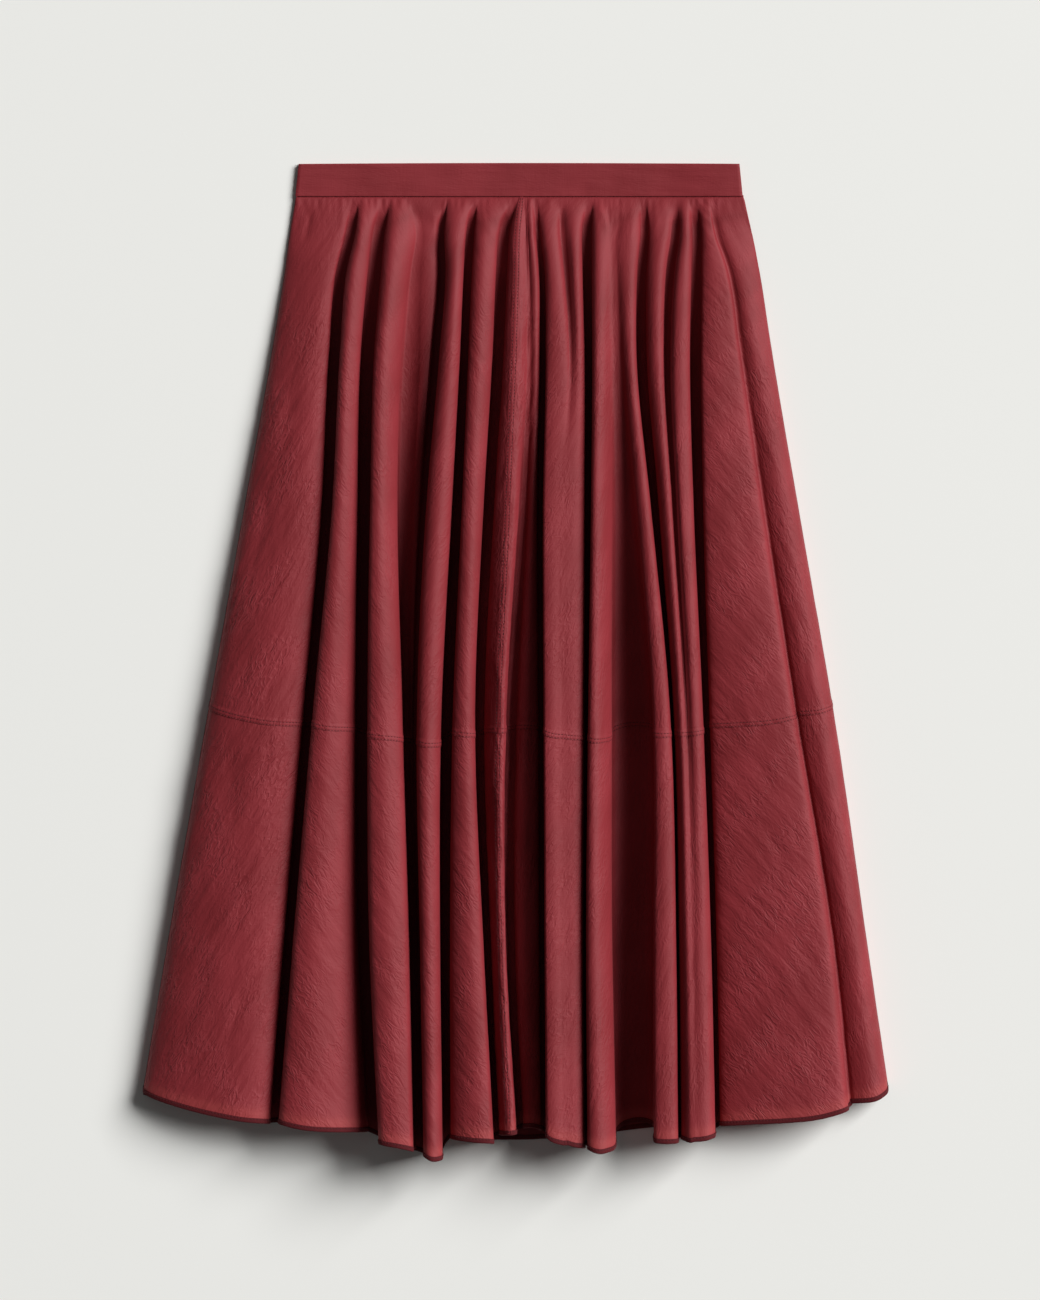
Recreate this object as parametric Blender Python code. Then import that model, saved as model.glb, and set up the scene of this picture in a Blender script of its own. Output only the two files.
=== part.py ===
"""Circle skirt laid flat, front up: two tiers, a plain waistband, a bound hem and a side zip.

The front is one cloth wall whose cross-section is a row of fold ridges between valleys that come
down to the back panel. Tables give each valley's line and each ridge's rise at a few drops below
the waist seam, and a smooth curve through those sizes gives every point of the wall.

World frame: +X is the wearer's left, +Y runs up to the waistband, +Z leaves the surface on which
the skirt lies. Tables are in millimetres and the meshes are in metres.
"""

from typing import NamedTuple

import bpy
import numpy as np

MM = 0.001

# Driving sizes, in millimetres
BAND_HEIGHT = 28.0            # waistband, seam to top fold
BAND_TOP_HALF = 186.2         # half the flat waistband at its top fold
BAND_SEAM_HALF = 189.0        # half the flat waistband at the waist seam
BAND_THICK = 2.2              # one folded band
BAND_BOW = 0.8                # the top fold rises this much at its middle
BAND_COLUMNS = 25             # columns of points along one half of the band
# Waistband section from the top fold down: height above the seam, and share of the full thickness
BAND_SECTION = ((28.0, 0.35), (27.5, 0.8), (26.0, 1.0), (14.0, 1.0), (2.0, 1.0), (0.0, 0.75))
SEAM_Y = 392.2                # waist seam
ORIGIN = (-1.83, -2.25, 0.0)  # middle of the whole outline, on the surface it lies on
WALL = 1.0                    # cloth panel
BINDING = 1.6                 # folded binding at the hem
BINDING_WIDTH = 4.0
GAP = 0.3                     # between neighbouring pieces
BINDING_GAP = 0.5             # beside the binding, whose seam runs aslant on a fold's side
TIER_SHARE = 0.57             # tier seam, as a share of the way from waist seam to hem
FOLD_HEIGHT = 54.0            # common rise of the folds at the hem
FOLD_GROWTH = 0.37            # power by which folds rise with the drop
FOLD_START = 7.5              # drop over which folds leave the waist seam
FOLD_REFERENCE = 790.0        # drop at which folds reach FOLD_HEIGHT
OVERHANG_OF_WIDTH = 0.18      # a fold's foot lies under its lip by this share of its width
OVERHANG_OF_RISE = 0.20       # and by no more than this share of its rise
FLANK_PLACE = 0.4             # a flank's place, as a share of the way from lip to crest
FLANK_RISE = 0.62             # and its height, as a share of the way up
HEM_SETTLE = 30.0             # last stretch, where valleys rise to clear the back binding
WAIST_SETTLE = 28.0           # first stretch, where the panel leaves the band's middle height
ZIP_LIFT = 2.6                # the band's zip end rises by this much over slider and pull
ZIP_LIFT_START = 70.0         # the rise starts this far in from the band's end
ZIP_LIFT_RUN = 58.0
ZIP_LENGTH = 172.0            # zip tape, below the waist seam

PANEL_FLOOR = WALL + GAP + WALL / 2          # mid-height of a valley on the back panel
HEM_FLOOR = BINDING + GAP + BINDING / 2      # the same under the binding
FRONT_BAND_MID = BAND_THICK + GAP + BAND_THICK / 2

# Drops below the waist seam at which the lines of folds and sides are given
LINE_DROPS = np.array([0.0, 30.0, 60.0, 130.0, 260.0, 440.0, 640.0, 790.0])
# Drops at which widths, depths, rises and crests are given
FORM_DROPS = np.array([30.0, 130.0, 440.0, 790.0])

RIGHT_SIDE_LINE = (-188, -193, -197, -208, -231, -263, -298, -323)   # wearer's right
LEFT_SIDE_LINE = (191, 198, 204, 215, 237, 268, 297, 319)            # wearer's left


class Valley(NamedTuple):
    """A valley between two folds."""
    line: tuple      # x at LINE_DROPS
    mouth: tuple     # width between the two lips at FORM_DROPS
    depth: tuple     # 1 reaches the back panel, 0 is level with the lips, at FORM_DROPS
    hem_lift: float  # the hem in the valley ends this much above its neighbours'


class Ridge(NamedTuple):
    """A fold between two valleys. Its first four columns are given at FORM_DROPS."""
    rise: tuple    # share of the common fold height
    left: tuple    # height of its left lip, as a share of the rise
    right: tuple   # height of its right lip
    crest: tuple   # where the top lies, from 0 at the left lip to 1 at the right one
    hem: tuple     # drop of the hem at the left lip, the crest and the right lip


VALLEYS = (
    Valley((-138, -142, -149, -155, -161, -177, -194, -206), (8, 8, 4.5, 7), (1, 1, 1, 1), 0),
    Valley((-112, -118, -121, -127, -130, -131.5, -129, -121), (10, 10, 7, 7), (0.9, 1, 1, 1), 2),
    Valley((-88, -81, -87, -90, -95, -93.8, -88.6, -86), (7, 12, 4, 1.2), (0.85, 1, 1, 1), 0),
    Valley((-61, -65, -64, -69, -80, -87.4, -84.2, -81.4), (5, 5, 3, 2), (0.9, 1, 1, 1), 0),
    Valley((-36, -40, -42, -45, -51, -59.5, -61.5, -60.5), (6, 6, 8, 9), (1, 1, 1, 1), 6),
    Valley((-3, -11, -13, -16, -24, -32, -25, -17.5), (8, 8, 6.5, 4), (1, 1, 1, 1), 1),
    Valley((7, 8, 9, 9, 5, -5, -6, 2), (3, 4, 8, 5), (0, 0.3, 1, 1), 1),
    Valley((15, 17, 20, 21, 19, 20, 21, 22), (5, 5, 3.5, 3.5), (0.8, 1, 1, 1), 1),
    Valley((37, 38, 41, 45, 38, 36, 38, 40), (6, 5, 5, 5), (0.5, 0.15, 0, 0), 0),
    Valley((61, 59, 59, 60, 60, 58.5, 57, 59), (8, 6, 1.6, 2.5), (0.9, 1, 1, 1), 1),
    Valley((78, 81, 82, 84, 90, 97.5, 98, 99.5), (8, 9, 33, 30), (0.25, 0.45, 1, 1), 20),
    Valley((106, 108, 106, 105, 116, 131, 136, 137.5), (7, 8, 2.5, 7), (0.8, 1, 1, 1), 1),
    Valley((134, 134, 130, 127, 133, 143, 148, 151), (6, 5, 5, 5), (0.8, 0.6, 0.1, 0), 0),
    Valley((149, 152, 152, 151, 153, 159.5, 166, 169), (8, 8, 6, 8), (0.8, 1, 1, 1), 3),
    Valley((164, 169, 179, 190, 209, 237, 269, 284), (5, 4, 2.5, 2.5), (0.3, 0.35, 0.5, 0.5), 0),
)

RIDGES = (
    Ridge((0.5, 0.6, 0.68, 0.7), (0.3, 0.35, 0.42, 0.42), (0.6, 0.7, 0.75, 0.75),
          (0.75, 0.75, 0.72, 0.7), (763, 785, 787)),
    Ridge((0.8, 0.9, 0.92, 0.9), (0.65, 0.82, 0.92, 0.93), (0.5, 0.6, 0.45, 0.3),
          (0.35, 0.35, 0.3, 0.25), (786, 793, 794)),
    Ridge((0.9, 1, 1.08, 1.1), (0.6, 0.82, 0.9, 0.92), (0.5, 0.55, 0.8, 0.88),
          (0.35, 0.35, 0.45, 0.5), (803, 806, 810)),
    Ridge((0.5, 0.42, 0.1, 0), (0.7, 0.8, 0.8, 0.8), (0.7, 0.8, 0.8, 0.8),
          (0.5, 0.5, 0.5, 0.5), (811, 811.5, 812)),
    Ridge((1, 1, 1.05, 1.1), (0.65, 0.75, 0.88, 0.92), (0.65, 0.7, 0.75, 0.85),
          (0.5, 0.5, 0.45, 0.45), (813, 818, 816)),
    Ridge((0.9, 0.95, 1, 1), (0.65, 0.82, 0.92, 0.92), (0.6, 0.55, 0.78, 0.88),
          (0.4, 0.35, 0.42, 0.5), (799, 802, 803)),
    Ridge((0.8, 0.85, 0.8, 0.85), (0.65, 0.75, 0.35, 0.7), (0.7, 0.8, 0.95, 0.9),
          (0.5, 0.5, 0.8, 0.55), (796, 796, 795)),
    Ridge((0.7, 0.55, 0.38, 0.45), (0.7, 0.7, 0.6, 0.75), (0.7, 0.75, 0.8, 0.85),
          (0.5, 0.5, 0.5, 0.5), (791, 790, 793)),
    Ridge((0.8, 0.85, 0.88, 0.9), (0.65, 0.82, 0.92, 0.92), (0.75, 0.9, 1, 1),
          (0.4, 0.5, 0.6, 0.6), (797, 802, 804)),
    Ridge((0.78, 0.85, 0.9, 0.92), (0.8, 0.93, 1, 1), (0.6, 0.7, 0.85, 0.88),
          (0.5, 0.45, 0.4, 0.4), (804, 806, 807)),
    Ridge((0.9, 1, 1.05, 1.05), (0.65, 0.82, 0.92, 0.92), (0.8, 0.7, 0.5, 0.7),
          (0.35, 0.3, 0.3, 0.4), (807, 812, 807)),
    Ridge((0.8, 0.9, 0.95, 0.98), (0.75, 0.82, 0.92, 0.95), (0.65, 0.8, 0.88, 0.92),
          (0.5, 0.5, 0.5, 0.5), (802, 803, 802)),
    Ridge((0.8, 0.85, 0.92, 0.97), (0.65, 0.7, 0.85, 0.92), (0.7, 0.85, 0.95, 1),
          (0.5, 0.55, 0.6, 0.6), (799, 802, 801)),
    Ridge((0.85, 0.85, 0.92, 0.97), (0.7, 0.9, 0.95, 1), (0.65, 0.75, 0.82, 0.82),
          (0.5, 0.45, 0.4, 0.4), (801, 800, 797)),
    Ridge((0.7, 0.75, 0.75, 0.75), (0.65, 0.75, 0.72, 0.65), (0.95, 0.95, 0.95, 0.95),
          (0.5, 0.5, 0.65, 0.7), (789, 785, 775)),
    Ridge((0.5, 0.5, 0.45, 0.42), (0.9, 0.9, 0.9, 0.9), (0.3, 0.3, 0.3, 0.3),
          (0.2, 0.25, 0.3, 0.3), (770, 769, 761)),
)
CENTRE_RIDGE = 6              # the fold along whose crest the centre-front seam runs
FOLD_COLUMNS = 8              # columns of points from one fold's foot to the next one's
CREST_COLUMN = 3              # the crest's place among them

# Share of the drop, waist seam to tier seam, and tier seam to binding, at each row of points
UPPER_ROWS = (0.0, 0.02, 0.055, 0.11, 0.19, 0.30, 0.44, 0.60, 0.80, 1.0)
LOWER_ROWS = (0.22, 0.44, 0.66, 0.85, 1.0)
BACK_UPPER_ROWS = (0.0, 0.2, 0.34, 0.5, 0.66, 0.83, 1.0)
BACK_LOWER_ROWS = (0.16, 0.32, 0.55, 0.78, 1.0)


class Tuck(NamedTuple):
    """A fold of the back panel that lies flat on it, under one of the front's folds."""
    line: tuple      # x of its middle at TUCK_DROPS
    start: float     # drop at which it leaves the panel
    full: float      # drop at which it has its full thickness and starts to fold over
    overlap: float   # width of its layers at the hem


TUCK_DROPS = np.array([0.0, 150.0, 440.0, 790.0])
TUCK_RISE = 5.0               # mid-height of its top layer above the panel's
TUCK_OPEN = -12.0             # overlap before it folds over
# Points of a tuck from its lower turn to its upper one: x as a share of half the overlap, while it
# is still open and once it lies folded, how far the turn bulges, and the share of its rise
TUCK_POINTS = (
    (1.0, 1.0, 0.0, 0.0),
    (0.6, 1.0, 1.0, 0.25),
    (0.2, 1.0, 0.0, 0.5),
    (-0.2, -1.0, 0.0, 0.5),
    (-0.6, -1.0, -1.0, 0.75),
    (-1.0, -1.0, 0.0, 1.0),
)
TUCK_APPROACH = 7.0           # the panel is flat up to this far before the lower turn
TUCK_TOP_POINTS = ((-2.0, 1.0), (2.0, 1.0), (10.0, 0.0), (14.0, 0.0))   # past the turns: x, rise
TUCKS = (
    Tuck((-158, -185, -229, -257), 260, 460, 44),
    Tuck((-120, -139, -160, -167), 400, 540, 28),
    Tuck((150, 172, 203, 238), 260, 460, 58),
)
PANEL_POINTS = 3              # flat points between the back panel's tucks
CENTRE_POINTS = 7             # and across its wide middle stretch

BACK_HEM_X = np.array([-318.0, -257.0, -224.0, -140.0, -60.0, 36.0, 100.0, 206.0, 257.0, 318.0])
BACK_HEM = np.array([763.0, 784.0, 788.0, 789.0, 801.0, 802.0, 791.0, 785.0, 774.0, 761.0])

# Zip, in millimetres: x is measured in from the band's end, y up from the waist seam
TAPE_OUTER = 7.5
TAPE_WIDTH = 13.0
TAPE_THICK = 1.0
TAPE_DROPS = np.array([-27.0, -15.0, -3.0, 3.0, 10.0, 40.0, 80.0, 130.0, ZIP_LENGTH])
TAPE_STEP = -3.0              # drop at which the tape starts to come down from band to panel
TAPE_STEP_RUN = 9.0
SLIDER_THICK = 1.6
SLIDER_LENGTH = 8.0
SLIDER_BOTTOM = 17.0
SLIDER_LOW = 0.6
SLIDER_HIGH = 4.6
LUG_THICK = 0.7
PULL_LENGTH = 12.5
PULL_THICK = 1.0
EYE_RADIUS = 1.5
EYE_HOLE = 0.75
PIN_RADIUS = 0.45
PIN_Y = 23.0
ROUND_SIDES = 16

CLOTH_RED = (0.175, 0.022, 0.028, 1.0)
BINDING_RED = (0.075, 0.010, 0.015, 1.0)
TAPE_RED = (0.090, 0.012, 0.018, 1.0)
PULL_RED = (0.060, 0.012, 0.014, 1.0)


def smooth(t):
    """Return t eased from 0 to 1 with level ends."""
    t = np.clip(t, 0.0, 1.0)
    return t * t * (3.0 - 2.0 * t)


def along(stations, values, drop):
    """Return the smooth curve through values at stations, read at each drop.

    Each stretch is a cubic whose end slopes are the mean of the slopes beside them, and past the
    last station the curve goes straight on.
    """
    values = np.asarray(values, dtype=float)
    slopes = np.gradient(values, stations)
    inside = np.clip(drop, stations[0], stations[-1])
    i = np.clip(np.searchsorted(stations, inside, side="right") - 1, 0, len(stations) - 2)
    length = stations[i + 1] - stations[i]
    t = (inside - stations[i]) / length
    curve = (
        (1 + 2 * t) * (1 - t) ** 2 * values[i]
        + t * (1 - t) ** 2 * length * slopes[i]
        + t * t * (3 - 2 * t) * values[i + 1]
        - t * t * (1 - t) * length * slopes[i + 1]
    )
    return curve + np.maximum(drop - stations[-1], 0.0) * slopes[-1]


def depth_of(valley, drop):
    """Return how deep a valley is, from 0, level with its lips, to 1, on the back panel."""
    return np.clip(along(FORM_DROPS, valley.depth, drop), 0.0, 1.0)


def fold_height(drop):
    """Return the common rise of the folds at a drop below the waist seam."""
    drop = np.maximum(drop, 0.0)
    growth = (drop / FOLD_REFERENCE) ** FOLD_GROWTH
    return FOLD_HEIGHT * growth * (1.0 - np.exp(-drop / FOLD_START))


def zip_rise(x):
    """Return how far the front band rises over the zip at x."""
    return ZIP_LIFT * smooth((x - (BAND_SEAM_HALF - ZIP_LIFT_START)) / ZIP_LIFT_RUN)


def floor_height(x, drop, hem):
    """Return the mid-height of the front wall where it lies on the back panel."""
    at_waist = 1.0 - smooth(drop / WAIST_SETTLE)
    at_hem = smooth((drop - (hem - HEM_SETTLE)) / (HEM_SETTLE - BINDING_WIDTH))
    panel = PANEL_FLOOR + (HEM_FLOOR - PANEL_FLOOR) * at_hem
    return panel + (FRONT_BAND_MID + zip_rise(x) - panel) * at_waist


def zip_side_floor(x, drop, hem):
    """Return the mid-height of the front wall's zip side, which rises over the open seam."""
    beside_zip = 1.0 - smooth(drop / ZIP_LENGTH)
    return floor_height(x, drop, hem) + ZIP_LIFT * beside_zip * smooth(drop / WAIST_SETTLE)


def row_drops(hem, upper_rows, lower_rows):
    """Return the drop of each row of points in a column whose hem is at a given drop.

    The rows run from the waist seam by the tier seam to the binding's upper edge and the hem.
    """
    tier = TIER_SHARE * hem
    edge = hem - BINDING_WIDTH
    upper = [GAP + share * (tier - GAP) for share in upper_rows]
    lower = [tier + share * (edge - tier) for share in lower_rows]
    return np.array(upper + lower + [hem])


def front_controls():
    """Return the front wall's control points, one array of rows of (x, drop, z) for each column.

    A fold has a foot, lip and flank on each side of its crest, and each valley has one point.
    """
    columns = []

    def rows_of(hem):
        return row_drops(hem, UPPER_ROWS, LOWER_ROWS)

    def add(x, drop, z):
        columns.append(np.stack([x, drop, z], axis=-1))

    for i, ridge in enumerate(RIDGES):
        left = VALLEYS[i - 1] if i > 0 else None
        right = VALLEYS[i] if i < len(VALLEYS) else None

        def lips(drop):
            start = along(LINE_DROPS, left.line if left else RIGHT_SIDE_LINE, drop)
            end = along(LINE_DROPS, right.line if right else LEFT_SIDE_LINE, drop)
            if left:
                start = start + along(FORM_DROPS, left.mouth, drop) / 2
            if right:
                end = end - along(FORM_DROPS, right.mouth, drop) / 2
            return start, end

        def rise(drop, fold=ridge):
            return along(FORM_DROPS, fold.rise, drop) * fold_height(drop)

        def foot(drop, side):
            start, end = lips(drop)
            valley = left if side < 0 else right
            depth = depth_of(valley, drop)
            under = np.minimum(OVERHANG_OF_WIDTH * (end - start), OVERHANG_OF_RISE * rise(drop))
            return (start + under * depth) if side < 0 else (end - under * depth)

        def valley_z(drop, x, index):
            before, after = RIDGES[index], RIDGES[index + 1]
            lips_rise = (along(FORM_DROPS, before.right, drop) * rise(drop, before)
                         + along(FORM_DROPS, after.left, drop) * rise(drop, after))
            return floor_height(x, drop, drop[-1]) + (1.0 - depth_of(VALLEYS[index], drop)) * lips_rise / 2

        hem_left, hem_crest, hem_right = ridge.hem
        drop = rows_of(hem_left)
        if left:
            x = foot(drop, -1)
            add(x, drop, valley_z(drop, x, i - 1))
        else:
            x = along(LINE_DROPS, RIGHT_SIDE_LINE, drop)
            add(x, drop, floor_height(x, drop, hem_left))
        for side, to_crest, way_up, hem in (
            (0, 0.0, 0.0, hem_left),
            (0, FLANK_PLACE, FLANK_RISE, (hem_left + hem_crest) / 2),
            (0, 1.0, 1.0, hem_crest),
            (1, FLANK_PLACE, FLANK_RISE, (hem_crest + hem_right) / 2),
            (1, 0.0, 0.0, hem_right),
        ):
            drop = rows_of(hem)
            start, end = lips(drop)
            crest = start + along(FORM_DROPS, ridge.crest, drop) * (end - start)
            lip = end if side else start
            x = lip + to_crest * (crest - lip)
            lip_share = along(FORM_DROPS, (ridge.left, ridge.right)[side], drop)
            level = lip_share + way_up * (1.0 - lip_share)
            add(x, drop, floor_height(x, drop, hem) + level * rise(drop))
        drop = rows_of(hem_right)
        if right:
            x = foot(drop, 1)
            add(x, drop, valley_z(drop, x, i))
            hem = (hem_right + RIDGES[i + 1].hem[0]) / 2 - right.hem_lift
            drop = rows_of(hem)
            x = along(LINE_DROPS, right.line, drop)
            add(x, drop, valley_z(drop, x, i))
        else:
            x = along(LINE_DROPS, LEFT_SIDE_LINE, drop)
            add(x, drop, zip_side_floor(x, drop, hem_right))
    return np.array(columns)


def back_controls():
    """Return the back wall's control points, one array of rows of (x, drop, z) for each column."""
    columns = []

    def rows_of(hem):
        return row_drops(hem, BACK_UPPER_ROWS, BACK_LOWER_ROWS)

    def back_hem(x):
        return float(np.interp(x, BACK_HEM_X, BACK_HEM))

    def add(line, level, near=None):
        drop = rows_of(back_hem(line(FOLD_REFERENCE) if near is None else near))
        x = line(drop)
        columns.append(np.stack([x, drop, WALL / 2 + level(drop)], axis=-1))

    def flat(drop):
        return 0.0 * drop

    def side(values):
        return lambda drop: along(LINE_DROPS, values, drop)

    def between(start, end, share):
        return lambda drop: start(drop) + share * (end(drop) - start(drop))

    def overlap_of(tuck, drop):
        grown = np.clip((drop - tuck.full) / (FOLD_REFERENCE - tuck.full), 0.0, 1.0)
        return TUCK_OPEN + (tuck.overlap - TUCK_OPEN) * grown

    def tuck_point(tuck, when_open, when_folded, bulge, offset=0.0):
        def line(drop):
            overlap = overlap_of(tuck, drop)
            folded = smooth((overlap - TUCK_OPEN) / -TUCK_OPEN)
            share = when_open + (when_folded - when_open) * folded
            middle = along(TUCK_DROPS, tuck.line, drop)
            return middle + share * overlap / 2 + bulge * folded + offset
        return line

    def tuck_top(tuck, offset):
        return lambda drop: (
            along(TUCK_DROPS, tuck.line, drop) + np.abs(overlap_of(tuck, drop)) / 2 + offset
        )

    def tuck_level(tuck, share):
        return lambda drop: TUCK_RISE * share * smooth((drop - tuck.start) / (tuck.full - tuck.start))

    previous = side(RIGHT_SIDE_LINE)
    add(previous, flat)
    for i, tuck in enumerate(TUCKS):
        start = tuck_point(tuck, 1.0, 1.0, 0.0, -TUCK_APPROACH)
        near = tuck.line[-1] + np.sign(tuck.line[-1]) * tuck.overlap / 2
        count = CENTRE_POINTS if i == len(TUCKS) - 1 else PANEL_POINTS
        for k in range(1, count + 1):
            add(between(previous, start, k / (count + 1)), flat)
        add(start, flat, near)
        for when_open, when_folded, bulge, share in TUCK_POINTS:
            add(tuck_point(tuck, when_open, when_folded, bulge), tuck_level(tuck, share), near)
        for offset, share in TUCK_TOP_POINTS:
            previous = tuck_top(tuck, offset)
            add(previous, tuck_level(tuck, share), near)
    end = side(LEFT_SIDE_LINE)
    for k in range(1, PANEL_POINTS + 1):
        add(between(previous, end, k / (PANEL_POINTS + 1)), flat)
    add(end, flat)
    return np.array(columns)


def smooth_section(controls):
    """Return the points of the cubic B-spline through each row's controls, one for each control.

    The rows come first in the result, and a mirrored control past each end keeps the ends in place.
    """
    before = 2 * controls[:1] - controls[1:2]
    after = 2 * controls[-1:] - controls[-2:-1]
    padded = np.concatenate([before, controls, after])
    section = (padded[:-2] + 4 * padded[1:-1] + padded[2:]) / 6
    return section.transpose(1, 0, 2)


def world(section):
    """Return world points in millimetres from rows of (x, drop, z)."""
    return np.stack([section[..., 0], SEAM_Y - section[..., 1], section[..., 2]], axis=-1)


def unit(vectors):
    """Return vectors scaled to length 1."""
    return vectors / np.linalg.norm(vectors, axis=-1, keepdims=True)


def directions(points):
    """Return the unit directions across and down a grid of points, and its upward normals."""
    across = unit(np.gradient(points, axis=1))
    down = unit(np.gradient(points, axis=0))
    return across, down, unit(np.cross(down, across))


def piece_of(points, rows, columns, gaps):
    """Return one panel's points and normals, cut from a whole wall.

    gaps gives the gap at each of the sides top, bottom, left and right that is a seam. Half of it
    is left there, square to the seam and in the surface.
    """
    across, down, normal = directions(points)
    off_row = unit(np.cross(across, normal)) / 2
    off_column = unit(np.cross(normal, down)) / 2
    first, last = rows.start, rows.stop - 1
    cut = points.copy()
    cut[first] += off_row[first] * gaps.get("top", 0.0)
    cut[last] -= off_row[last] * gaps.get("bottom", 0.0)
    first, last = columns.start, columns.stop - 1
    cut[:, first] += off_column[:, first] * gaps.get("left", 0.0)
    cut[:, last] -= off_column[:, last] * gaps.get("right", 0.0)
    return cut[rows, columns], normal[rows, columns]


def add_object(name, verts, faces, material):
    """Return a new object of one closed mesh, given in millimetres."""
    mesh = bpy.data.meshes.new(name)
    mesh.from_pydata(((np.asarray(verts) - ORIGIN) * MM).tolist(), [], faces)
    mesh.validate()
    mesh.shade_smooth()
    mesh.materials.append(material)
    obj = bpy.data.objects.new(name, mesh)
    bpy.context.scene.collection.objects.link(obj)
    return obj


def add_wall(name, points, normals, half, material):
    """Return a closed wall, half thick to each side of a grid of points.

    half is one number, or a list of a number for each row.
    """
    rows, columns = points.shape[:2]
    reach = np.reshape(half, (-1, 1, 1))
    verts = np.concatenate([
        (points + normals * reach).reshape(-1, 3),
        (points - normals * reach).reshape(-1, 3),
    ])
    under = rows * columns
    faces = []
    for r in range(rows - 1):
        for c in range(columns - 1):
            a, b = r * columns + c, r * columns + c + 1
            d, e = a + columns, b + columns
            faces.append((a, d, e, b))
            faces.append((under + a, under + b, under + e, under + d))
    top = list(range(columns))
    right = [r * columns + columns - 1 for r in range(rows)]
    bottom = [(rows - 1) * columns + c for c in range(columns - 1, -1, -1)]
    left = [r * columns for r in range(rows - 1, -1, -1)]
    ring = top + right[1:] + bottom[1:] + left[1:-1]
    for a, b in zip(ring, ring[1:] + ring[:1]):
        faces.append((a, b, under + b, under + a))
    return add_object(name, verts, faces, material)


def make_material(name, colour, roughness, metallic=0.0):
    """Return a new Principled material."""
    material = bpy.data.materials.new(name)
    material.use_nodes = True
    shader = material.node_tree.nodes["Principled BSDF"]
    shader.inputs["Base Color"].default_value = colour
    shader.inputs["Roughness"].default_value = roughness
    shader.inputs["Metallic"].default_value = metallic
    return material


def build_front(cloth, trim):
    """Build the front's four panels and its binding from one folded wall."""
    points = world(smooth_section(front_controls()))
    rows, columns = points.shape[:2]
    tier = len(UPPER_ROWS) - 1
    edge = rows - 2
    centre = FOLD_COLUMNS * CENTRE_RIDGE + CREST_COLUMN
    right_half, left_half = slice(0, centre + 1), slice(centre, columns)
    for name, row_range, column_range, gaps in (
        ("front_upper_right", slice(0, tier + 1), right_half, {"bottom": GAP, "right": GAP}),
        ("front_upper_left", slice(0, tier + 1), left_half, {"bottom": GAP, "left": GAP}),
        ("front_lower_right", slice(tier, edge + 1), right_half,
         {"top": GAP, "bottom": BINDING_GAP, "right": GAP}),
        ("front_lower_left", slice(tier, edge + 1), left_half,
         {"top": GAP, "bottom": BINDING_GAP, "left": GAP}),
    ):
        panel, normals = piece_of(points, row_range, column_range, gaps)
        add_wall(name, panel, normals, WALL / 2, cloth)
    hem, normals = piece_of(points, slice(edge, rows), slice(0, columns), {"top": BINDING_GAP})
    add_wall("hem_binding_front", hem, normals, BINDING / 2, trim)


def build_back(cloth, trim):
    """Build the back's two panels and its binding from one wall with flat tucks."""
    points = world(smooth_section(back_controls()))
    rows, columns = points.shape[:2]
    tier = len(BACK_UPPER_ROWS) - 1
    edge = rows - 2
    every = slice(0, columns)
    for name, row_range, gaps in (
        ("back_upper", slice(0, tier + 1), {"bottom": GAP}),
        ("back_lower", slice(tier, edge + 1), {"top": GAP, "bottom": BINDING_GAP}),
    ):
        panel, normals = piece_of(points, row_range, every, gaps)
        add_wall(name, panel, normals, WALL / 2, cloth)
    hem, normals = piece_of(points, slice(edge, rows), every, {"top": BINDING_GAP})
    hem[..., 2] += (BINDING - WALL) / 2
    add_wall("hem_binding_back", hem, normals, BINDING / 2, trim)


def band_half(height):
    """Return half the band's width at a height above the waist seam."""
    return BAND_SEAM_HALF + (BAND_TOP_HALF - BAND_SEAM_HALF) * height / BAND_HEIGHT


def build_band(name, middle, rises, right_cut, material):
    """Build one half of the waistband, a folded band with a rounded top fold.

    Args:
        name: the object's name.
        middle: mid-height of the band.
        rises: whether it rises over the zip at its wearer's-left end.
        right_cut: how much shorter it is at that end.
    """
    heights, thickness = np.array(BAND_SECTION).T
    share = np.linspace(-1.0, 1.0, BAND_COLUMNS)
    height, across = np.meshgrid(heights, share, indexing="ij")
    x = across * band_half(height)
    x = x - right_cut * (across + 1.0) / 2
    y = SEAM_Y + height + BAND_BOW * (1.0 - across ** 2) * height / BAND_HEIGHT
    z = middle + (zip_rise(x) if rises else np.zeros_like(x))
    points = np.stack([x, y, z], axis=-1)
    add_wall(name, points, directions(points)[2], thickness * BAND_THICK / 2, material)


def build_zip_tape(material):
    """Build the closed zip's tape, flat between the back and the front along the side seam."""
    drops = TAPE_DROPS
    in_band = 1.0 - smooth((drops - TAPE_STEP) / TAPE_STEP_RUN)
    side = along(LINE_DROPS, LEFT_SIDE_LINE, np.maximum(drops, 0.0))
    outer = np.where(drops < 0.0, band_half(np.maximum(-drops, 0.0)), side) - TAPE_OUTER
    on_panel = WALL + GAP + TAPE_THICK / 2
    on_band = BAND_THICK + GAP + TAPE_THICK / 2
    z = on_panel + (on_band - on_panel) * in_band
    points = np.stack([
        np.stack([outer - TAPE_WIDTH, SEAM_Y - drops, z], axis=-1),
        np.stack([outer, SEAM_Y - drops, z], axis=-1),
    ], axis=1)
    add_wall("zip_tape", points, directions(points)[2], TAPE_THICK / 2, material)


def add_box(name, low, high, material):
    """Return a box between two corners, in millimetres."""
    x, y, z = zip(low, high)
    verts = [(x[i], y[j], z[k]) for i in (0, 1) for j in (0, 1) for k in (0, 1)]
    faces = [(0, 1, 3, 2), (4, 6, 7, 5), (0, 4, 5, 1), (2, 3, 7, 6), (0, 2, 6, 4), (1, 5, 7, 3)]
    return add_object(name, verts, faces, material)


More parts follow.
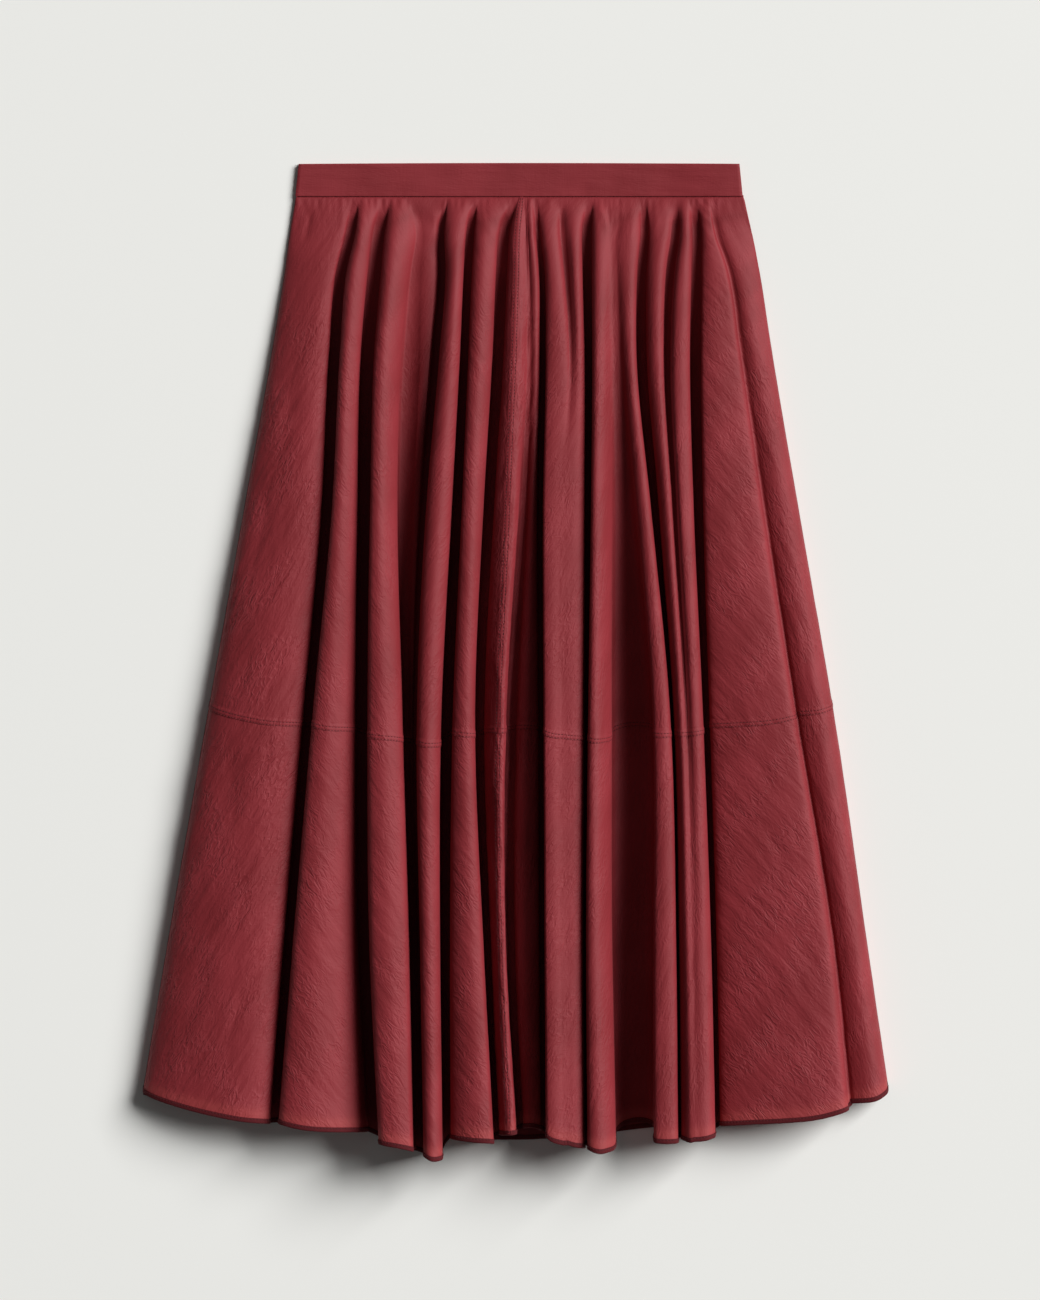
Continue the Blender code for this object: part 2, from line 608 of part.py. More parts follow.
def add_post(name, centre, radius, low, high, material):
    """Return an upright cylinder, in millimetres."""
    angle = np.arange(ROUND_SIDES) * 2 * np.pi / ROUND_SIDES
    ring = np.stack([centre[0] + radius * np.cos(angle), centre[1] + radius * np.sin(angle)], axis=-1)
    verts = [(*p, low) for p in ring] + [(*p, high) for p in ring]
    n = ROUND_SIDES
    faces = [(i, (i + 1) % n, n + (i + 1) % n, n + i) for i in range(n)]
    faces.append(tuple(range(n - 1, -1, -1)))
    faces.append(tuple(range(n, 2 * n)))
    return add_object(name, verts, faces, material)


def combine(target, tool, operation):
    """Join a tool object to the target, or cut it away."""
    tool.hide_render = True
    tool.display_type = "WIRE"
    modifier = target.modifiers.new(operation.lower(), "BOOLEAN")
    modifier.operation = operation
    modifier.solver = "EXACT"
    modifier.object = tool


def build_slider_and_pull(metal):
    """Build the zip's slider with its two lugs and pin, and the pull tab that hangs on the pin."""
    inner = band_half(SLIDER_BOTTOM) - TAPE_OUTER + GAP
    face = inner + SLIDER_THICK
    pin_x = face + GAP + EYE_RADIUS
    pin = (pin_x, SEAM_Y + PIN_Y)
    low_y = SEAM_Y + SLIDER_BOTTOM
    slider = add_box("zip_slider", (inner, low_y, SLIDER_LOW),
                     (face, low_y + SLIDER_LENGTH, SLIDER_HIGH), metal)
    overlap = SLIDER_THICK / 2
    for name, low in (("lug_low", SLIDER_LOW), ("lug_high", SLIDER_HIGH - LUG_THICK)):
        lug = add_box(name, (face - overlap, pin[1] - EYE_RADIUS, low),
                      (pin_x + EYE_RADIUS / 2, pin[1] + EYE_RADIUS, low + LUG_THICK), metal)
        combine(slider, lug, "UNION")
    post = add_post("pin", pin, PIN_RADIUS, SLIDER_LOW + LUG_THICK / 2,
                    SLIDER_HIGH - LUG_THICK / 2, metal)
    combine(slider, post, "UNION")

    low = SLIDER_LOW + LUG_THICK + GAP
    high = SLIDER_HIGH - LUG_THICK - GAP
    pull = add_box("zip_pull", (pin_x - PULL_THICK / 2, pin[1] - PULL_LENGTH, low),
                   (pin_x + PULL_THICK / 2, pin[1], high), metal)
    combine(pull, add_post("eye", pin, EYE_RADIUS, low, high, metal), "UNION")
    combine(pull, add_post("eye_hole", pin, EYE_HOLE, low - 1.0, high + 1.0, metal), "DIFFERENCE")


def main():
    """Build the whole skirt in an empty scene."""
    for obj in list(bpy.data.objects):
        bpy.data.objects.remove(obj, do_unlink=True)
    cloth = make_material("crinkled_cotton_nylon", CLOTH_RED, 0.75)
    trim = make_material("hem_binding_cloth", BINDING_RED, 0.7)
    tape = make_material("woven_zip_tape", TAPE_RED, 0.8)
    metal = make_material("lacquered_zinc", PULL_RED, 0.4, 0.3)
    build_front(cloth, trim)
    build_back(cloth, trim)
    build_band("waistband_front", FRONT_BAND_MID, True, 0.0, cloth)
    build_band("waistband_back", BAND_THICK / 2, False, TAPE_OUTER, cloth)
    build_zip_tape(tape)
    build_slider_and_pull(metal)


main()
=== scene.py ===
"""Dress a circle skirt that lies flat, front up: cloth, seams, stitches, bound hem, band and zip.

Every surface is worked out in millimetres from the skirt's own sizes: x runs to the wearer's left,
drop runs down from the waist seam and z leaves the surface that the skirt lies on. The meshes are
in metres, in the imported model's frame.
"""

from __future__ import annotations

import logging
from dataclasses import dataclass
from enum import Enum
from typing import Any, Callable, NamedTuple, Sequence

import bpy
import numpy as np
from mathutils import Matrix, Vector

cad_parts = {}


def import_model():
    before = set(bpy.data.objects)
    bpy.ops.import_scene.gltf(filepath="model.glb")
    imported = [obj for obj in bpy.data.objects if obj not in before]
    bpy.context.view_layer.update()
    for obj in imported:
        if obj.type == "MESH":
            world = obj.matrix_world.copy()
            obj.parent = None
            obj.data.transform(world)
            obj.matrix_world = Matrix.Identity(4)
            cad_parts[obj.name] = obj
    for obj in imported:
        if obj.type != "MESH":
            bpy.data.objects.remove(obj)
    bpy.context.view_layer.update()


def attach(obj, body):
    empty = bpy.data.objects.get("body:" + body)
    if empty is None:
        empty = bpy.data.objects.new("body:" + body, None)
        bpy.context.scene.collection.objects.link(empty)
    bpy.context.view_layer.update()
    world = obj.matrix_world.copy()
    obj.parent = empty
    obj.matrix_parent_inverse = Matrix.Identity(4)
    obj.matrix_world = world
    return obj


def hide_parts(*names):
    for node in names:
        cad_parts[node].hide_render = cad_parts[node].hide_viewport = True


LOG = logging.getLogger("circle_skirt")
MM = 0.001
ORIGIN = np.array([-1.83, -2.25, 0.0])
FAR = 99.0    # stands for a column that is nowhere near the centre-front seam
Array = np.ndarray


# ---- Tables of the skirt's form, in millimetres ----

# Drops below the waist seam at which the lines of folds and sides are given, and widths and rises
LINE_DROPS = np.array([0.0, 30.0, 60.0, 130.0, 260.0, 440.0, 640.0, 790.0])
FORM_DROPS = np.array([30.0, 130.0, 440.0, 790.0])
RIGHT_SIDE_LINE = (-188, -193, -197, -208, -231, -263, -298, -323)
LEFT_SIDE_LINE = (191, 198, 204, 215, 237, 268, 297, 319)


class Valley(NamedTuple):
    """A valley between two folds."""

    line: tuple      # x at LINE_DROPS
    mouth: tuple     # width between the two lips at FORM_DROPS
    depth: tuple     # 1 reaches the back panel, 0 is level with the lips, at FORM_DROPS
    hem_lift: float  # the hem in the valley ends this much above its neighbours'


class Ridge(NamedTuple):
    """A fold between two valleys. Its first four columns are given at FORM_DROPS."""

    rise: tuple    # share of the common fold height
    left: tuple    # height of its left lip, as a share of the rise
    right: tuple   # height of its right lip
    crest: tuple   # where the top lies, from 0 at the left lip to 1 at the right one
    hem: tuple     # drop of the hem at the left lip, the crest and the right lip


VALLEYS = (
    Valley((-138, -142, -149, -155, -161, -177, -194, -206), (8, 8, 4.5, 3), (1, 1, 1, 1), 0),
    Valley((-112, -118, -121, -127, -130, -131.5, -129, -121), (10, 10, 7, 4), (0.9, 1, 1, 1), 2),
    Valley((-88, -83, -86, -90, -95, -93.8, -88.6, -86), (9, 13, 4, 1.6), (0.35, 0.92, 1, 1), 0),
    Valley((-61, -65, -64, -69, -80, -87.4, -84.2, -81.4), (5, 5, 3, 2), (0.9, 1, 1, 1), 0),
    Valley((-36, -40, -42, -45, -51, -59.5, -61.5, -60.5), (6, 6, 8, 5), (1, 1, 1, 1), 6),
    Valley((-3, -11, -13, -16, -24, -32, -25, -17.5), (8, 8, 6.5, 3), (1, 1, 1, 1), 1),
    Valley((7, 8, 9, 9, 5, -5, -6, 2), (3, 6, 8, 5), (0, 0.1, 1, 1), 1),
    Valley((15, 17, 20, 21, 19, 20, 21, 22), (5, 5, 3.5, 3), (0.5, 0.85, 1, 1), 1),
    Valley((37, 38, 41, 45, 38, 36, 38, 40), (6, 5, 5, 5), (0.5, 0.15, 0, 0), 0),
    Valley((61, 59, 59, 60, 60, 58.5, 57, 58), (8, 6, 1.6, 0.6), (0.9, 1, 1, 1), 1),
    Valley((78, 81, 82, 84, 90, 97.5, 98, 99.5), (8, 12, 33, 30), (0.05, 0.14, 1, 1), 20),
    Valley((106, 108, 106, 105, 116, 131, 136, 137.5), (7, 8, 2, 1), (0.8, 1, 1, 1), 1),
    Valley((134, 134, 130, 127, 133, 143, 148, 151), (6, 5, 5, 5), (0.8, 0.6, 0.1, 0), 0),
    Valley((149, 152, 152, 151, 153, 159.5, 166, 169), (8, 8, 4, 2), (0.8, 1, 1, 1), 3),
    Valley((164, 169, 179, 190, 209, 237, 269, 284), (5, 4, 1.4, 1.4), (0.3, 0.3, 0.42, 0.42), 0),
)

RIDGES = (
    Ridge((0.5, 0.6, 0.68, 0.7), (0.3, 0.38, 0.5, 0.42), (0.6, 0.7, 0.72, 0.75),
          (0.75, 0.7, 0.6, 0.74), (763, 785, 787)),
    Ridge((0.8, 0.9, 0.92, 0.9), (0.65, 0.82, 0.88, 0.88), (0.5, 0.6, 0.55, 0.45),
          (0.35, 0.35, 0.38, 0.38), (786, 793, 794)),
    Ridge((0.9, 1, 1.08, 1.1), (0.6, 0.82, 0.9, 0.92), (0.36, 0.38, 0.72, 0.88),
          (0.35, 0.35, 0.45, 0.5), (803, 806, 810)),
    Ridge((0.5, 0.42, 0.1, 0), (0.7, 0.8, 0.8, 0.8), (0.7, 0.8, 0.8, 0.8),
          (0.5, 0.5, 0.5, 0.5), (811, 811.5, 812)),
    Ridge((1, 1, 1.05, 1.1), (0.65, 0.75, 0.88, 0.92), (0.65, 0.7, 0.75, 0.85),
          (0.5, 0.5, 0.45, 0.45), (813, 818, 816)),
    Ridge((0.9, 0.95, 1, 1), (0.65, 0.82, 0.86, 0.78), (0.6, 0.6, 0.8, 0.9),
          (0.4, 0.4, 0.55, 0.62), (799, 802, 803)),
    Ridge((0.8, 0.85, 0.8, 0.85), (0.65, 0.75, 0.56, 0.7), (0.7, 0.8, 0.9, 0.9),
          (0.5, 0.5, 0.68, 0.55), (796, 796, 795)),
    Ridge((0.75, 0.64, 0.38, 0.45), (0.9, 0.92, 0.6, 0.75), (0.7, 0.78, 0.8, 0.85),
          (0.5, 0.5, 0.5, 0.5), (791, 790, 793)),
    Ridge((0.8, 0.88, 0.96, 0.98), (0.65, 0.86, 0.97, 0.97), (0.75, 0.9, 0.96, 0.96),
          (0.4, 0.45, 0.45, 0.45), (797, 802, 804)),
    Ridge((0.78, 0.83, 0.88, 0.9), (0.8, 0.96, 1.02, 1.02), (0.6, 0.7, 0.85, 0.88),
          (0.5, 0.45, 0.4, 0.4), (804, 806, 807)),
    Ridge((0.9, 1, 1.05, 1.05), (0.65, 0.82, 0.92, 0.92), (0.8, 0.7, 0.5, 0.7),
          (0.35, 0.3, 0.3, 0.4), (807, 812, 807)),
    Ridge((0.8, 0.9, 0.95, 0.98), (0.88, 0.86, 0.92, 0.95), (0.65, 0.8, 0.88, 0.92),
          (0.5, 0.5, 0.5, 0.5), (802, 803, 802)),
    Ridge((0.8, 0.85, 0.92, 0.97), (0.65, 0.7, 0.76, 0.78), (0.7, 0.85, 0.97, 1),
          (0.5, 0.55, 0.68, 0.72), (799, 802, 801)),
    Ridge((0.85, 0.85, 0.92, 0.97), (0.7, 0.9, 0.95, 1), (0.65, 0.75, 0.82, 0.82),
          (0.5, 0.45, 0.4, 0.4), (801, 800, 797)),
    Ridge((0.7, 0.75, 0.75, 0.75), (0.7, 0.86, 0.76, 0.67), (0.9, 0.85, 0.93, 0.95),
          (0.45, 0.4, 0.62, 0.68), (789, 785, 775)),
    Ridge((0.5, 0.5, 0.45, 0.42), (0.9, 0.8, 0.72, 0.7), (0.3, 0.4, 0.5, 0.5),
          (0.2, 0.4, 0.55, 0.6), (770, 769, 761)),
)
CENTRE_RIDGE = 6      # the fold whose crest carries the centre-front seam
FOLD_COLUMNS = 9      # columns of controls from one fold's left foot to the next fold's
CREST_COLUMN = 4      # a fold's crest among them


class Crinkle(NamedTuple):
    """How the cloth of one fold is crinkled, in the upper and the lower tier."""

    lean: tuple    # degrees from the drop: positive streaks run up to the right
    depth: tuple   # rise of a crinkle, in millimetres
    width: float   # from one crinkle to the next
    length: float  # of one crinkle


CRINKLES = (
    Crinkle((24, 30), (0.46, 0.46), 7.5, 48.0),
    Crinkle((-34, -38), (0.20, 0.26), 7.0, 22.0),
    Crinkle((-30, -36), (0.20, 0.24), 7.0, 22.0),
    Crinkle((32, 40), (0.20, 0.24), 7.0, 22.0),
    Crinkle((34, -34), (0.20, 0.26), 7.0, 24.0),
    Crinkle((-30, -38), (0.20, 0.30), 8.0, 30.0),
    Crinkle((8, -6), (0.6, 1.1), 7.5, 34.0),
    Crinkle((14, 12), (0.35, 0.50), 8.0, 46.0),
    Crinkle((34, 40), (0.24, 0.28), 7.5, 28.0),
    Crinkle((26, 30), (0.22, 0.30), 7.5, 28.0),
    Crinkle((12, 24), (0.18, 0.24), 8.0, 34.0),
    Crinkle((10, 18), (0.20, 0.26), 8.0, 36.0),
    Crinkle((20, 16), (0.20, 0.22), 8.0, 40.0),
    Crinkle((6, 2), (0.18, 0.22), 8.0, 44.0),
    Crinkle((-38, -40), (0.26, 0.34), 6.5, 44.0),
    Crinkle((-14, -10), (0.28, 0.30), 9.0, 80.0),
)


class Crease(NamedTuple):
    """One of the main creases: a soft ridge, or a trough where its rise is below 0."""

    x0: float
    drop0: float
    x1: float
    drop1: float
    width: float
    rise: float


CREASES = [Crease(*row) for row in (
    (-91, 6, -66, 60, 3.6, -1.8), (-74, 34, -66, 96, 3.0, -0.9), (-82, 40, -78, 110, 3.2, 0.9),
    (-209, 454, -223, 500, 3.0, -0.9), (-219, 556, -239, 587, 3.0, -0.8),
    (-215, 556, -234, 588, 3.0, 0.7), (-225, 582, -259, 634, 3.2, -1.0),
    (-230, 590, -284, 650, 3.4, 0.8), (-242, 464, -252, 528, 8.0, -1.3),
    (-259, 476, -273, 509, 4.0, 0.8), (-275, 522, -285, 557, 4.0, 0.8),
    (-198, 383, -220, 433, 3.2, -0.8), (-226, 381, -240, 424, 3.2, -0.7),
    (-236, 300, -248, 352, 4.0, 0.6), (-214, 240, -232, 330, 5.0, -0.7),
    (-190, 150, -216, 250, 5.0, -0.6), (-176, 8, -184, 40, 2.4, -0.8),
    (-262, 640, -296, 716, 5.0, -0.9), (-232, 668, -252, 726, 4.0, -0.7),
    (-216, 640, -228, 700, 5.0, 0.6), (196, 470, 216, 505, 7.0, -0.7),
    (205, 520, 226, 580, 9.0, -0.9), (224, 600, 250, 668, 9.0, -0.8),
    (184, 420, 200, 452, 4.0, 0.5), (214, 640, 236, 690, 5.0, 0.6),
    (236, 700, 256, 748, 6.0, -0.7), (176, 250, 196, 330, 6.0, -0.6),
    (230, 330, 244, 430, 3.0, -0.7), (240, 380, 262, 500, 3.0, 0.6),
    (262, 520, 284, 640, 3.4, -0.7), (284, 600, 300, 700, 3.4, 0.6),
    (196, 60, 208, 140, 3.0, -0.6), (206, 100, 226, 220, 3.0, 0.5), (68, 6, 76, 34, 2.6, 0.9),
    (86, 10, 82, 40, 2.6, -0.8), (98, 6, 92, 46, 3.0, 0.9), (122, 8, 118, 40, 2.6, -0.8),
    (-24, 470, -18, 560, 3.4, 1.4), (-21, 380, -16, 452, 3.0, 1.2),
    (-14, 560, -20, 660, 3.2, -1.2),
)]


# ---- Small functions on whole arrays ----


def smooth(t: Array) -> Array:
    """Return t eased from 0 to 1 with level ends, 3t squared less 2t cubed."""
    t = np.clip(t, 0.0, 1.0)
    return t * t * (3.0 - 2.0 * t)


def bell(t: Array) -> Array:
    """Return the bell curve of t, e to the power of minus t squared."""
    return np.exp(-t ** 2)


def along(stations: Array, values: Sequence[float], drop: Array) -> Array:
    """Return the smooth curve through values at stations, read at each drop.

    Each stretch is a Hermite cubic whose end slopes are the mean of the slopes beside them, and
    past the last station the curve goes straight on.

    Args:
        stations: where the values are given.
        values: the values there.
        drop: where the curve is read.

    Returns:
        The curve's value at each drop.
    """
    values = np.asarray(values, dtype=float)
    slopes = np.gradient(values, stations)
    inside = np.clip(drop, stations[0], stations[-1])
    i = np.clip(np.searchsorted(stations, inside, side="right") - 1, 0, len(stations) - 2)
    length = stations[i + 1] - stations[i]
    t = (inside - stations[i]) / length
    curve = (
        (1 + 2 * t) * (1 - t) ** 2 * values[i]
        + t * (1 - t) ** 2 * length * slopes[i]
        + t * t * (3 - 2 * t) * values[i + 1]
        - t * t * (1 - t) * length * slopes[i + 1]
    )
    return curve + np.maximum(drop - stations[-1], 0.0) * slopes[-1]


def gradient_noise(x: Array, y: Array, seed: int) -> Array:
    """Return smooth noise from about -1 to 1 at each point.

    Each whole-number point has a random slope. Between four of them the value blends their four
    planes by the quintic 6t^5 - 15t^4 + 10t^3.

    Args:
        x: first coordinate, where 1 is the noise's own grain.
        y: second coordinate.
        seed: picks the slopes.

    Returns:
        The noise at each point.
    """
    size = 256
    angle = np.random.default_rng(seed).uniform(0.0, 2.0 * np.pi, (size, size))
    i, j = np.floor(x).astype(int), np.floor(y).astype(int)
    u, v = x - i, y - j

    def plane(di: int, dj: int) -> Array:
        """Return the plane of the grid point di, dj away."""
        a = angle[(i + di) % size, (j + dj) % size]
        return np.cos(a) * (u - di) + np.sin(a) * (v - dj)

    s = u ** 3 * (u * (u * 6 - 15) + 10)
    t = v ** 3 * (v * (v * 6 - 15) + 10)
    low = plane(0, 0) * (1 - s) + plane(1, 0) * s
    high = plane(0, 1) * (1 - s) + plane(1, 1) * s
    return 1.5 * (low * (1 - t) + high * t)


def unit(vectors: Array) -> Array:
    """Return vectors scaled to length 1."""
    return vectors / np.linalg.norm(vectors, axis=-1, keepdims=True)


def directions(points: Array) -> tuple[Array, Array, Array]:
    """Return the unit directions across and down a grid of points, and its outward normals."""
    across = unit(np.gradient(points, axis=1))
    down = unit(np.gradient(points, axis=0))
    return across, down, unit(np.cross(down, across))


def arc_length(points: Array) -> Array:
    """Return the distance run along each row of a grid of points."""
    steps = np.linalg.norm(np.diff(points, axis=1), axis=-1)
    return np.concatenate([np.zeros((len(points), 1)), np.cumsum(steps, axis=1)], axis=1)


def world(section: Array, seam_y: float) -> Array:
    """Return points in millimetres with y up, from rows of (x, drop, z)."""
    return np.stack([section[..., 0], seam_y - section[..., 1], section[..., 2]], axis=-1)


def linear(hex_colour: str) -> tuple[float, float, float, float]:
    """Return a linear colour with alpha 1 from an sRGB hex value."""
    values = np.array([int(hex_colour[i:i + 2], 16) for i in (1, 3, 5)]) / 255.0
    low, high = values / 12.92, ((values + 0.055) / 1.055) ** 2.4
    return (*np.where(values <= 0.04045, low, high).tolist(), 1.0)


# ---- Meshes ----


def add_mesh(name: str, points: Array, quads: Array, finish: bpy.types.Material,
             maps: dict[str, Array] | None = None, tints: dict[str, Array] | None = None,
             sharp: Array | None = None) -> bpy.types.Object:
    """Put arrays into a new smooth mesh object at the origin, and report it.

    Args:
        name: the object's name.
        points: (n, 3) points in millimetres.
        quads: (m, 4) indices, outward.
        finish: the object's material.
        maps: UV maps by name, (n, 2) each.
        tints: float attributes by name, (n,) each.
        sharp: marks the points whose shared edges stay sharp.

    Returns:
        The object.
    """
    mesh = bpy.data.meshes.new(name)
    mesh.from_pydata(((points - ORIGIN) * MM).tolist(), [], quads.tolist())
    mesh.materials.append(finish)
    corner = np.empty(len(mesh.loops), dtype=np.int32)
    mesh.loops.foreach_get("vertex_index", corner)
    for title, values in (maps or {}).items():
        layer = mesh.uv_layers.new(name=title)
        layer.uv.foreach_set("vector", values[corner].astype(np.float32).ravel())
    for title, values in (tints or {}).items():
        layer = mesh.attributes.new(title, "FLOAT", "POINT")
        layer.data.foreach_set("value", values.astype(np.float32))
    mesh.shade_smooth()
    if sharp is not None:
        ends = np.empty(2 * len(mesh.edges), dtype=np.int32)
        mesh.edges.foreach_get("vertices", ends)
        layer = mesh.attributes.new("sharp_edge", "BOOLEAN", "EDGE")
        layer.data.foreach_set("value", sharp[ends.reshape(-1, 2)].all(axis=1))
    obj = bpy.data.objects.new(name, mesh)
    bpy.context.scene.collection.objects.link(obj)
    LOG.info("%s: %d points, %d faces", name, len(points), len(quads))
    return obj


def grid_quads(rows: int, columns: int) -> Array:
    """Return the quads of a grid of points that runs down its rows, facing outwards."""
    corner = (np.arange(rows - 1)[:, None] * columns + np.arange(columns - 1)).ravel()
    return np.stack([corner, corner + columns, corner + columns + 1, corner + 1], axis=-1)


def add_cloth(name: str, points: Array, half: float, finish: bpy.types.Material,
              maps: dict[str, Array] | None = None, tints: dict[str, Array] | None = None
              ) -> bpy.types.Object:
    """Make a closed cloth shell, half thick to each side of a grid of points.

    Args:
        name: the object's name.
        points: (rows, columns, 3) points in millimetres.
        half: half of the cloth's thickness.
        finish: the cloth's material.
        maps: UV maps by name, (rows, columns, 2) each.
        tints: float attributes by name, (rows, columns) each.

    Returns:
        The shell's object.
    """
    rows, columns = points.shape[:2]
    thick = directions(points)[2] * half
    under = rows * columns
    both = np.concatenate([points + thick, points - thick]).reshape(-1, 3)
    outer = grid_quads(rows, columns)
    index = np.arange(under).reshape(rows, columns)
    ring = np.concatenate([index[0, :-1], index[:-1, -1], index[-1, :0:-1], index[:0:-1, 0]])
    after = np.roll(ring, -1)
    rim = np.stack([ring, after, after + under, ring + under], axis=-1)
    quads = np.concatenate([outer, outer[:, ::-1] + under, rim])
    return add_mesh(name, both, quads, finish,
                    {k: np.tile(v.reshape(-1, 2), (2, 1)) for k, v in (maps or {}).items()},
                    {k: np.tile(v.ravel(), 2) for k, v in (tints or {}).items()},
                    sharp=np.isin(np.arange(2 * under) % under, ring))


def one_chart(cut: Array, chart: Array, strength: float) -> tuple[dict, dict]:
    """Return the maps and tints of cloth without folds: one chart, at one strength."""
    none = 0.0 * cut[..., 0]
    return ({"cut": cut, "crinkle": chart, "crinkle_odd": chart},
            {"light_through": none, "odd_fold": none, "crinkled": none + strength})


def add_tube(name: str, path: Array, side: Array, lift: Array, radius: Array, sides: int,
             finish: bpy.types.Material) -> bpy.types.Object:
    """Make closed tubes along many paths at once.

    A ring of points stands round each path point, radius times the cosine along side plus radius
    times the sine along lift. The two end rings are closed by a fan folded into quads.

    Args:
        name: the object's name.
        path: (count, steps, 3) path points in millimetres.
        side: (count, steps, 3) unit directions to the side.
        lift: (count, steps, 3) unit directions up.
        radius: (steps,) radii.
        sides: points in a ring, an even number.
        finish: the tubes' material.

    Returns:
        The tubes' object.
    """
    count, steps = path.shape[:2]
    angle = np.arange(sides) * 2 * np.pi / sides
    ring = (side[:, :, None] * np.cos(angle)[:, None] + lift[:, :, None] * np.sin(angle)[:, None])
    points = path[:, :, None] + ring * radius[:, None, None]
    step, around = np.meshgrid(np.arange(steps - 1), np.arange(sides), indexing="ij")
    a = (step * sides + around).ravel()
    b = (step * sides + (around + 1) % sides).ravel()
    walls = np.stack([a, b, b + sides, a + sides], axis=-1)
    fan = np.array([(0, i + 3, i + 2, i + 1) for i in range(0, sides - 2, 2)])
    one = np.concatenate([walls, fan, fan[:, ::-1] + (steps - 1) * sides])
    quads = one[None] + (np.arange(count) * steps * sides)[:, None, None]
    return add_mesh(name, points.reshape(-1, 3), quads.reshape(-1, 4), finish)


# ---- Finishes ----


class Nodes:
    """A new material, and the kinds of node that the finishes are made of."""

    def __init__(self, name: str) -> None:
        """Start a material with its Principled shader."""
        self.material = bpy.data.materials.new(name)
        self.material.use_nodes = True
        self.tree = self.material.node_tree

    def fill(self, node: bpy.types.Node, inputs: dict[Any, Any]) -> None:
        """Set a node's sockets, by name or number, to values or link them to output sockets."""
        for key, value in inputs.items():
            if isinstance(value, bpy.types.NodeSocket):
                self.tree.links.new(value, node.inputs[key])
            else:
                node.inputs[key].default_value = value

    def add(self, kind: str, inputs: dict[Any, Any] | None = None, **settings: Any) -> Any:
        """Add a node.

        Args:
            kind: the node's type name, without the words that all of them start with.
            inputs: what fill puts into its sockets.
            **settings: the node's own properties.

        Returns:
            The node's outputs.
        """
        node = self.tree.nodes.new(f"ShaderNode{kind}")
        for key, value in settings.items():
            setattr(node, key, value)
        self.fill(node, inputs or {})
        return node.outputs

    def place(self) -> Any:
        """Return the place in the object's own coordinates, in metres."""
        return self.add("TexCoord")["Object"]

    def chart(self, name: str) -> Any:
        """Return a UV map, in millimetres."""
        return self.add("UVMap", uv_map=name)["UV"]

    def attribute(self, name: str) -> Any:
        """Return a float attribute of the mesh."""
        return self.add("Attribute", attribute_name=name)["Fac"]

    def mapped(self, source: Any, scale: tuple, turn: float = 0.0) -> Any:
        """Return source turned about z and scaled."""
        return self.add("Mapping", {"Vector": source, "Rotation": (0.0, 0.0, turn),
                                    "Scale": scale})[0]

    def noise(self, source: Any, scale: float = 1.0, detail: float = 2.0,
              twist: float = 0.0) -> Any:
        """Return a noise pattern's value."""
        return self.add("TexNoise", {"Vector": source, "Scale": scale, "Detail": detail,
                                     "Distortion": twist})[0]

    def ranged(self, value: Any, low: float, high: float, start: float, end: float) -> Any:
        """Return value carried from low and high to start and end, and clipped there."""
        return self.add("MapRange", {"Value": value, "From Min": low, "From Max": high,
                                     "To Min": start, "To Max": end})[0]

    def maths(self, operation: str, first: Any, second: Any = 0.0) -> Any:
        """Return the result of a sum on one or two values."""
        return self.add("Math", {0: first, 1: second}, operation=operation)[0]

    def mixed(self, factor: Any, first: str | Any, second: str) -> Any:
        """Return a mix of two colours, given as hex values or sockets."""
        first, second = (linear(c) if isinstance(c, str) else c for c in (first, second))
        return self.add("Mix", {"Factor": factor, 6: first, 7: second}, data_type="RGBA")[2]

    def bumped(self, height: Any, distance_mm: float, strength: float = 1.0,
               normal: Any = None) -> Any:
        """Return the normal with a height pattern on it."""
        under = {} if normal is None else {"Normal": normal}
        return self.add("Bump", {"Height": height, "Strength": strength,
                                 "Distance": distance_mm * MM, **under})[0]

    def finished(self, inputs: dict[str, Any]) -> bpy.types.Material:
        """Return the material, with the shader's sockets filled."""
        self.fill(self.tree.nodes["Principled BSDF"], inputs)
        return self.material


